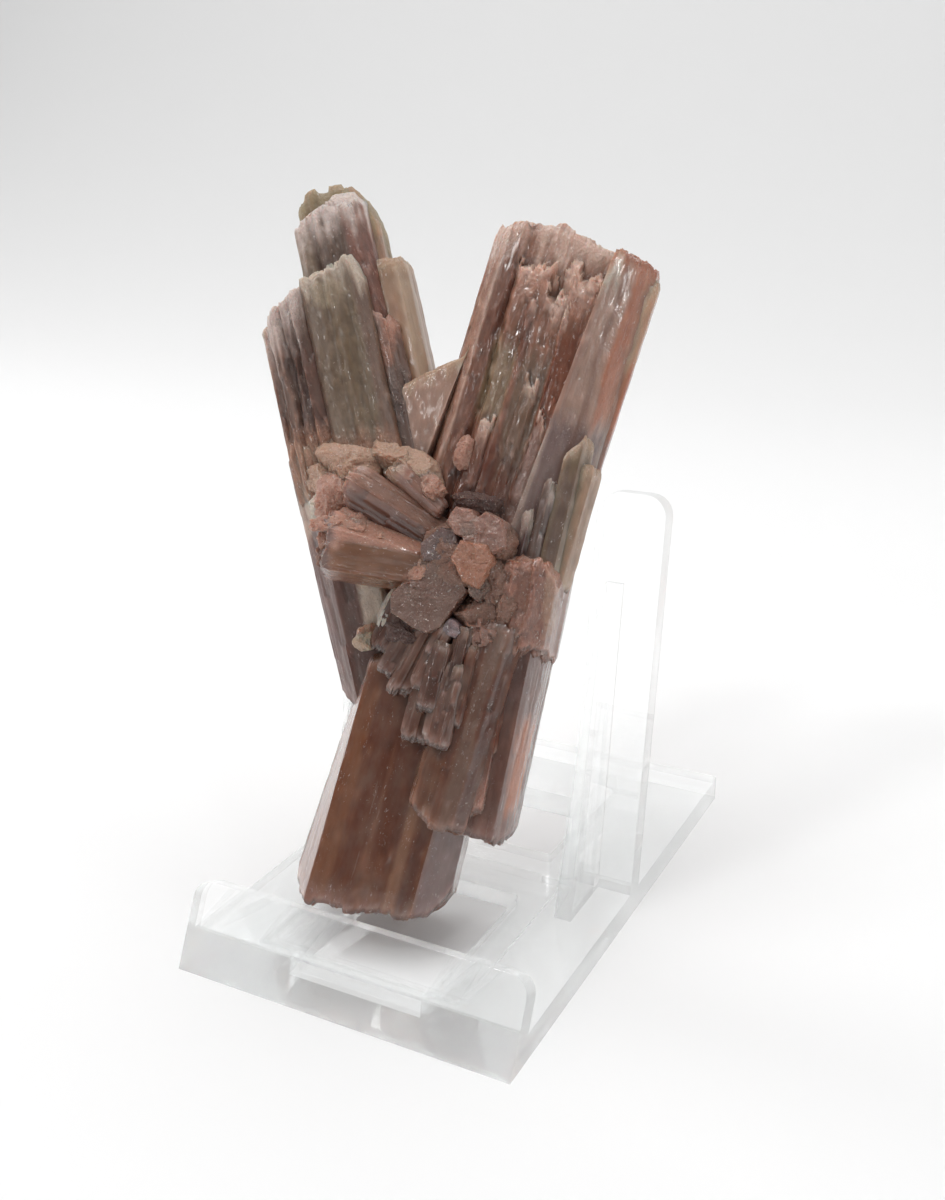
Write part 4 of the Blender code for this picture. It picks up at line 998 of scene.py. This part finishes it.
BODY = crystal_material("aragonite_body", roughness=0.18, glow=0.45, glow_radius=(1.0, 0.45, 0.3),
                        shade=(0.50, 0.39, 0.36, 1.0), line_strength=0.55, bump=0.6, coat=0.4)
CLEARER = crystal_material("aragonite_amber", roughness=0.16, glow=0.5, glow_radius=(1.0, 0.42, 0.22),
                           shade=(0.62, 0.50, 0.44, 1.0), line_strength=0.5, bump=0.16, coat=0.4)
CRUST = crystal_material("aragonite_crust", roughness=0.34, glow=0.5, glow_radius=(1.0, 0.55, 0.4),
                         shade=(0.50, 0.40, 0.36, 1.0), line_strength=0.4, bump=1.0, coat=0.2)
FROSTED = crystal_material("aragonite_frosted", roughness=0.34, glow=0.5, glow_radius=(1.0, 0.55, 0.4),
                           shade=(0.52, 0.43, 0.40, 1.0), line_strength=0.55, bump=0.7, coat=0.2)

for part, mat in ((arm, BODY), (foot, CLEARER), (low, BODY), (left, FROSTED), (blade, FROSTED),
                  (crust, CRUST), (centre, BODY)):
    part.build(mat)


# The stand, in clear moulded plastic with small edge radii.
PLASTIC_TINT, PLASTIC_IOR = (0.985, 0.99, 0.99, 1.0), 1.5
CLEAR_SHARE = 0.42          # of every ray goes straight through, as in thin clear plastic
DEEPEST = 4.5               # rays bounced more often than this go straight through
DULL = (0.02, 0.09)         # roughness, from clean to smeared
WAVE_HEIGHT = 0.0004
SAME_POINT, FLAT, EDGE = 0.00001, math.radians(0.6), math.radians(35)
EDGE_RADIUS = 0.00018


def clear_plastic():
    mat, wires, shader = new_material("clear_plastic_moulded")
    path = wires.add("LightPath", {}).outputs
    place = wires.add("TexCoord", {}).outputs["Object"]
    smear = wires.noise(place, 90.0, 4.0, 0.6)
    wave = wires.noise(place, 60.0, 1.0)
    ripple = wires.add("Bump", {"Height": wave, "Strength": 0.12, "Distance": WAVE_HEIGHT})
    for socket, value in (
        ("Base Color", PLASTIC_TINT), ("Transmission Weight", 1.0), ("IOR", PLASTIC_IOR),
        ("Roughness", wires.ramp(smear, 0.45, 0.75, *DULL)), ("Normal", ripple.outputs["Normal"]),
    ):
        wires.feed(shader.inputs[socket], value)
    # Light for shadows and for pale surfaces passes straight through, and so does a share of the rest.
    unseen = wires.calc("MAXIMUM", path["Is Shadow Ray"], path["Is Diffuse Ray"])
    lost = wires.calc("GREATER_THAN", path["Ray Depth"], DEEPEST)
    straight = wires.calc("MAXIMUM", wires.calc("MAXIMUM", unseen, lost), CLEAR_SHARE)
    veil = wires.add("BsdfTransparent", {"Color": PLASTIC_TINT})
    both = wires.add("MixShader", {0: straight, 1: shader.outputs[0], 2: veil.outputs[0]})
    wires.feed(mat.node_tree.nodes["Material Output"].inputs["Surface"], both.outputs[0])
    return mat


def moulded_stand(mat):
    """A copy of the solid stand with its edges rounded."""
    bm = bmesh.new()
    bm.from_mesh(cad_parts["display_stand"].data)
    bmesh.ops.remove_doubles(bm, verts=bm.verts, dist=SAME_POINT)
    bmesh.ops.dissolve_limit(bm, angle_limit=FLAT, verts=bm.verts, edges=bm.edges)
    edges = [e for e in bm.edges if len(e.link_faces) == 2 and e.calc_face_angle(0) > EDGE]
    bmesh.ops.bevel(bm, geom=edges, offset=EDGE_RADIUS, segments=2, profile=0.5, affect="EDGES",
                    clamp_overlap=True)
    mesh = bpy.data.meshes.new("clear_stand")
    bm.to_mesh(mesh)
    bm.free()
    stand = bpy.data.objects.new("clear_stand", mesh)
    bpy.context.scene.collection.objects.link(stand)
    mesh.materials.append(mat)
    mesh.polygons.foreach_set("use_smooth", [False] * len(mesh.polygons))
    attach(stand, "root")
    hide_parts("display_stand")


moulded_stand(clear_plastic())

# Floor and sweep: white paper under the stand, greyer with painted shade where it rises behind.
PAPER, PAPER_IN_PAINTED_SHADE = (0.88, 0.88, 0.88, 1.0), (0.70, 0.70, 0.70, 1.0)
GREYER_FROM, GREYER_TO = 0.06, 0.62
FLOOR_FRONT, BEND_AT, BEND, SWEEP_TOP, HALF_WIDTH = -2.0, 0.30, 0.4, 2.4, 2.5
UNDER = 0.00005             # below the stand's own base


def paper():
    mat, wires, shader = new_material("paper")
    place = wires.add("SeparateXYZ", {0: wires.add("TexCoord", {}).outputs["Object"]})
    # Painted shade: the paper darkens towards the back, where the sweep rises.
    behind = wires.ramp(place.outputs["Y"], GREYER_FROM, GREYER_TO, shape="SMOOTHSTEP")
    wires.feed(shader.inputs["Base Color"], wires.mix("MIX", behind, PAPER, PAPER_IN_PAINTED_SHADE))
    wires.feed(shader.inputs["Roughness"], 0.9)
    return mat


def floor_and_sweep(mat):
    profile = [(FLOOR_FRONT, -UNDER), (BEND_AT, -UNDER)]
    for degrees in range(6, 91, 6):
        angle = math.radians(degrees)
        profile.append((BEND_AT + BEND * math.sin(angle), BEND - BEND * math.cos(angle)))
    profile.append((BEND_AT + BEND, SWEEP_TOP))
    bm = bmesh.new()
    rows = [[bm.verts.new((x, y, z)) for y, z in profile] for x in (-HALF_WIDTH, HALF_WIDTH)]
    for k in range(len(profile) - 1):
        bm.faces.new((rows[0][k], rows[1][k], rows[1][k + 1], rows[0][k + 1]))
    mesh = bpy.data.meshes.new("floor")
    bm.to_mesh(mesh)
    bm.free()
    floor = bpy.data.objects.new("floor", mesh)
    mesh.materials.append(mat)
    mesh.polygons.foreach_set("use_smooth", [True] * len(mesh.polygons))
    bpy.context.scene.collection.objects.link(floor)


floor_and_sweep(paper())


def lamp(name, at, aim, size, power):
    data = bpy.data.lights.new(name, "AREA")
    data.shape, data.size, data.energy = "SQUARE", size, power
    ob = bpy.data.objects.new(name, data)
    ob.location = at
    ob.rotation_euler = (Vector(aim) - Vector(at)).to_track_quat("-Z", "Y").to_euler()
    bpy.context.scene.collection.objects.link(ob)


CRYSTALS = (0, 0, 0.05)
lamp("top", (0.0, 0.25, 0.9), (0, 0, 0.03), 0.9, 4.05)
lamp("back_left", (-0.95, 0.15, 0.55), CRYSTALS, 0.4, 2.2)
lamp("right", (0.75, 0.15, 0.35), CRYSTALS, 0.45, 1.0)
lamp("window", (-0.30, -0.45, 0.65), CRYSTALS, 0.10, 0.9)
for k, at in enumerate(((-0.42, -0.5, 0.25), (0.05, -0.35, 0.6), (0.5, -0.3, 0.3), (-0.1, -0.6, 0.4))):
    lamp("glint_%d" % k, at, CRYSTALS, 0.03, 0.16)
lamp("sweep", (-0.3, -0.1, 0.9), (-0.35, 0.7, 0.12), 0.6, 2.6)

# A bright room with the darker side towards the viewer.
ROOM_FRONT, ROOM_BACK = 0.16, 0.42
DARK_FROM, BRIGHT_FROM = -0.75, 0.35    # directions along Y


def room():
    world = bpy.data.worlds.new("room")
    world.use_nodes = True
    wires = Wires(world.node_tree)
    towards = wires.add("SeparateXYZ", {0: wires.add("TexCoord", {}).outputs["Generated"]})
    fall = wires.ramp(towards.outputs["Y"], DARK_FROM, BRIGHT_FROM, ROOM_FRONT, ROOM_BACK, "SMOOTHSTEP")
    # Through the plastic the room is bright all round, as it is round the real stand.
    through = wires.add("LightPath", {}).outputs["Transmission Depth"]
    background = world.node_tree.nodes["Background"].inputs
    wires.feed(background["Strength"], wires.ramp(through, 0.0, 1.0, fall, ROOM_BACK))
    background["Color"].default_value = (1.0, 1.0, 1.0, 1.0)
    return world


bpy.context.scene.world = room()

# The camera, as solved from the stand's edges.
FOCAL_PX, IMAGE_HEIGHT_PX = 1267.5, 1200.0
SENSOR = 36.0
YAW, PITCH = 0.47809, 0.32890
CAMERA_AT = (0.06241, -0.12238, 0.08243)
forward = Vector((-math.sin(YAW) * math.cos(PITCH), math.cos(YAW) * math.cos(PITCH), -math.sin(PITCH)))
side = forward.cross(Vector((0, 0, 1))).normalized()
camera = bpy.data.objects.new("camera", bpy.data.cameras.new("camera"))
matrix = Matrix((side, side.cross(forward), -forward)).transposed().to_4x4()
matrix.translation = Vector(CAMERA_AT)
camera.matrix_world = matrix
camera.data.sensor_width = SENSOR
camera.data.lens = SENSOR * FOCAL_PX / IMAGE_HEIGHT_PX
camera.data.clip_start = 0.005
bpy.context.scene.collection.objects.link(camera)
bpy.context.scene.camera = camera
bpy.context.scene.view_settings.view_transform = "Standard"

bpy.context.view_layer.update()
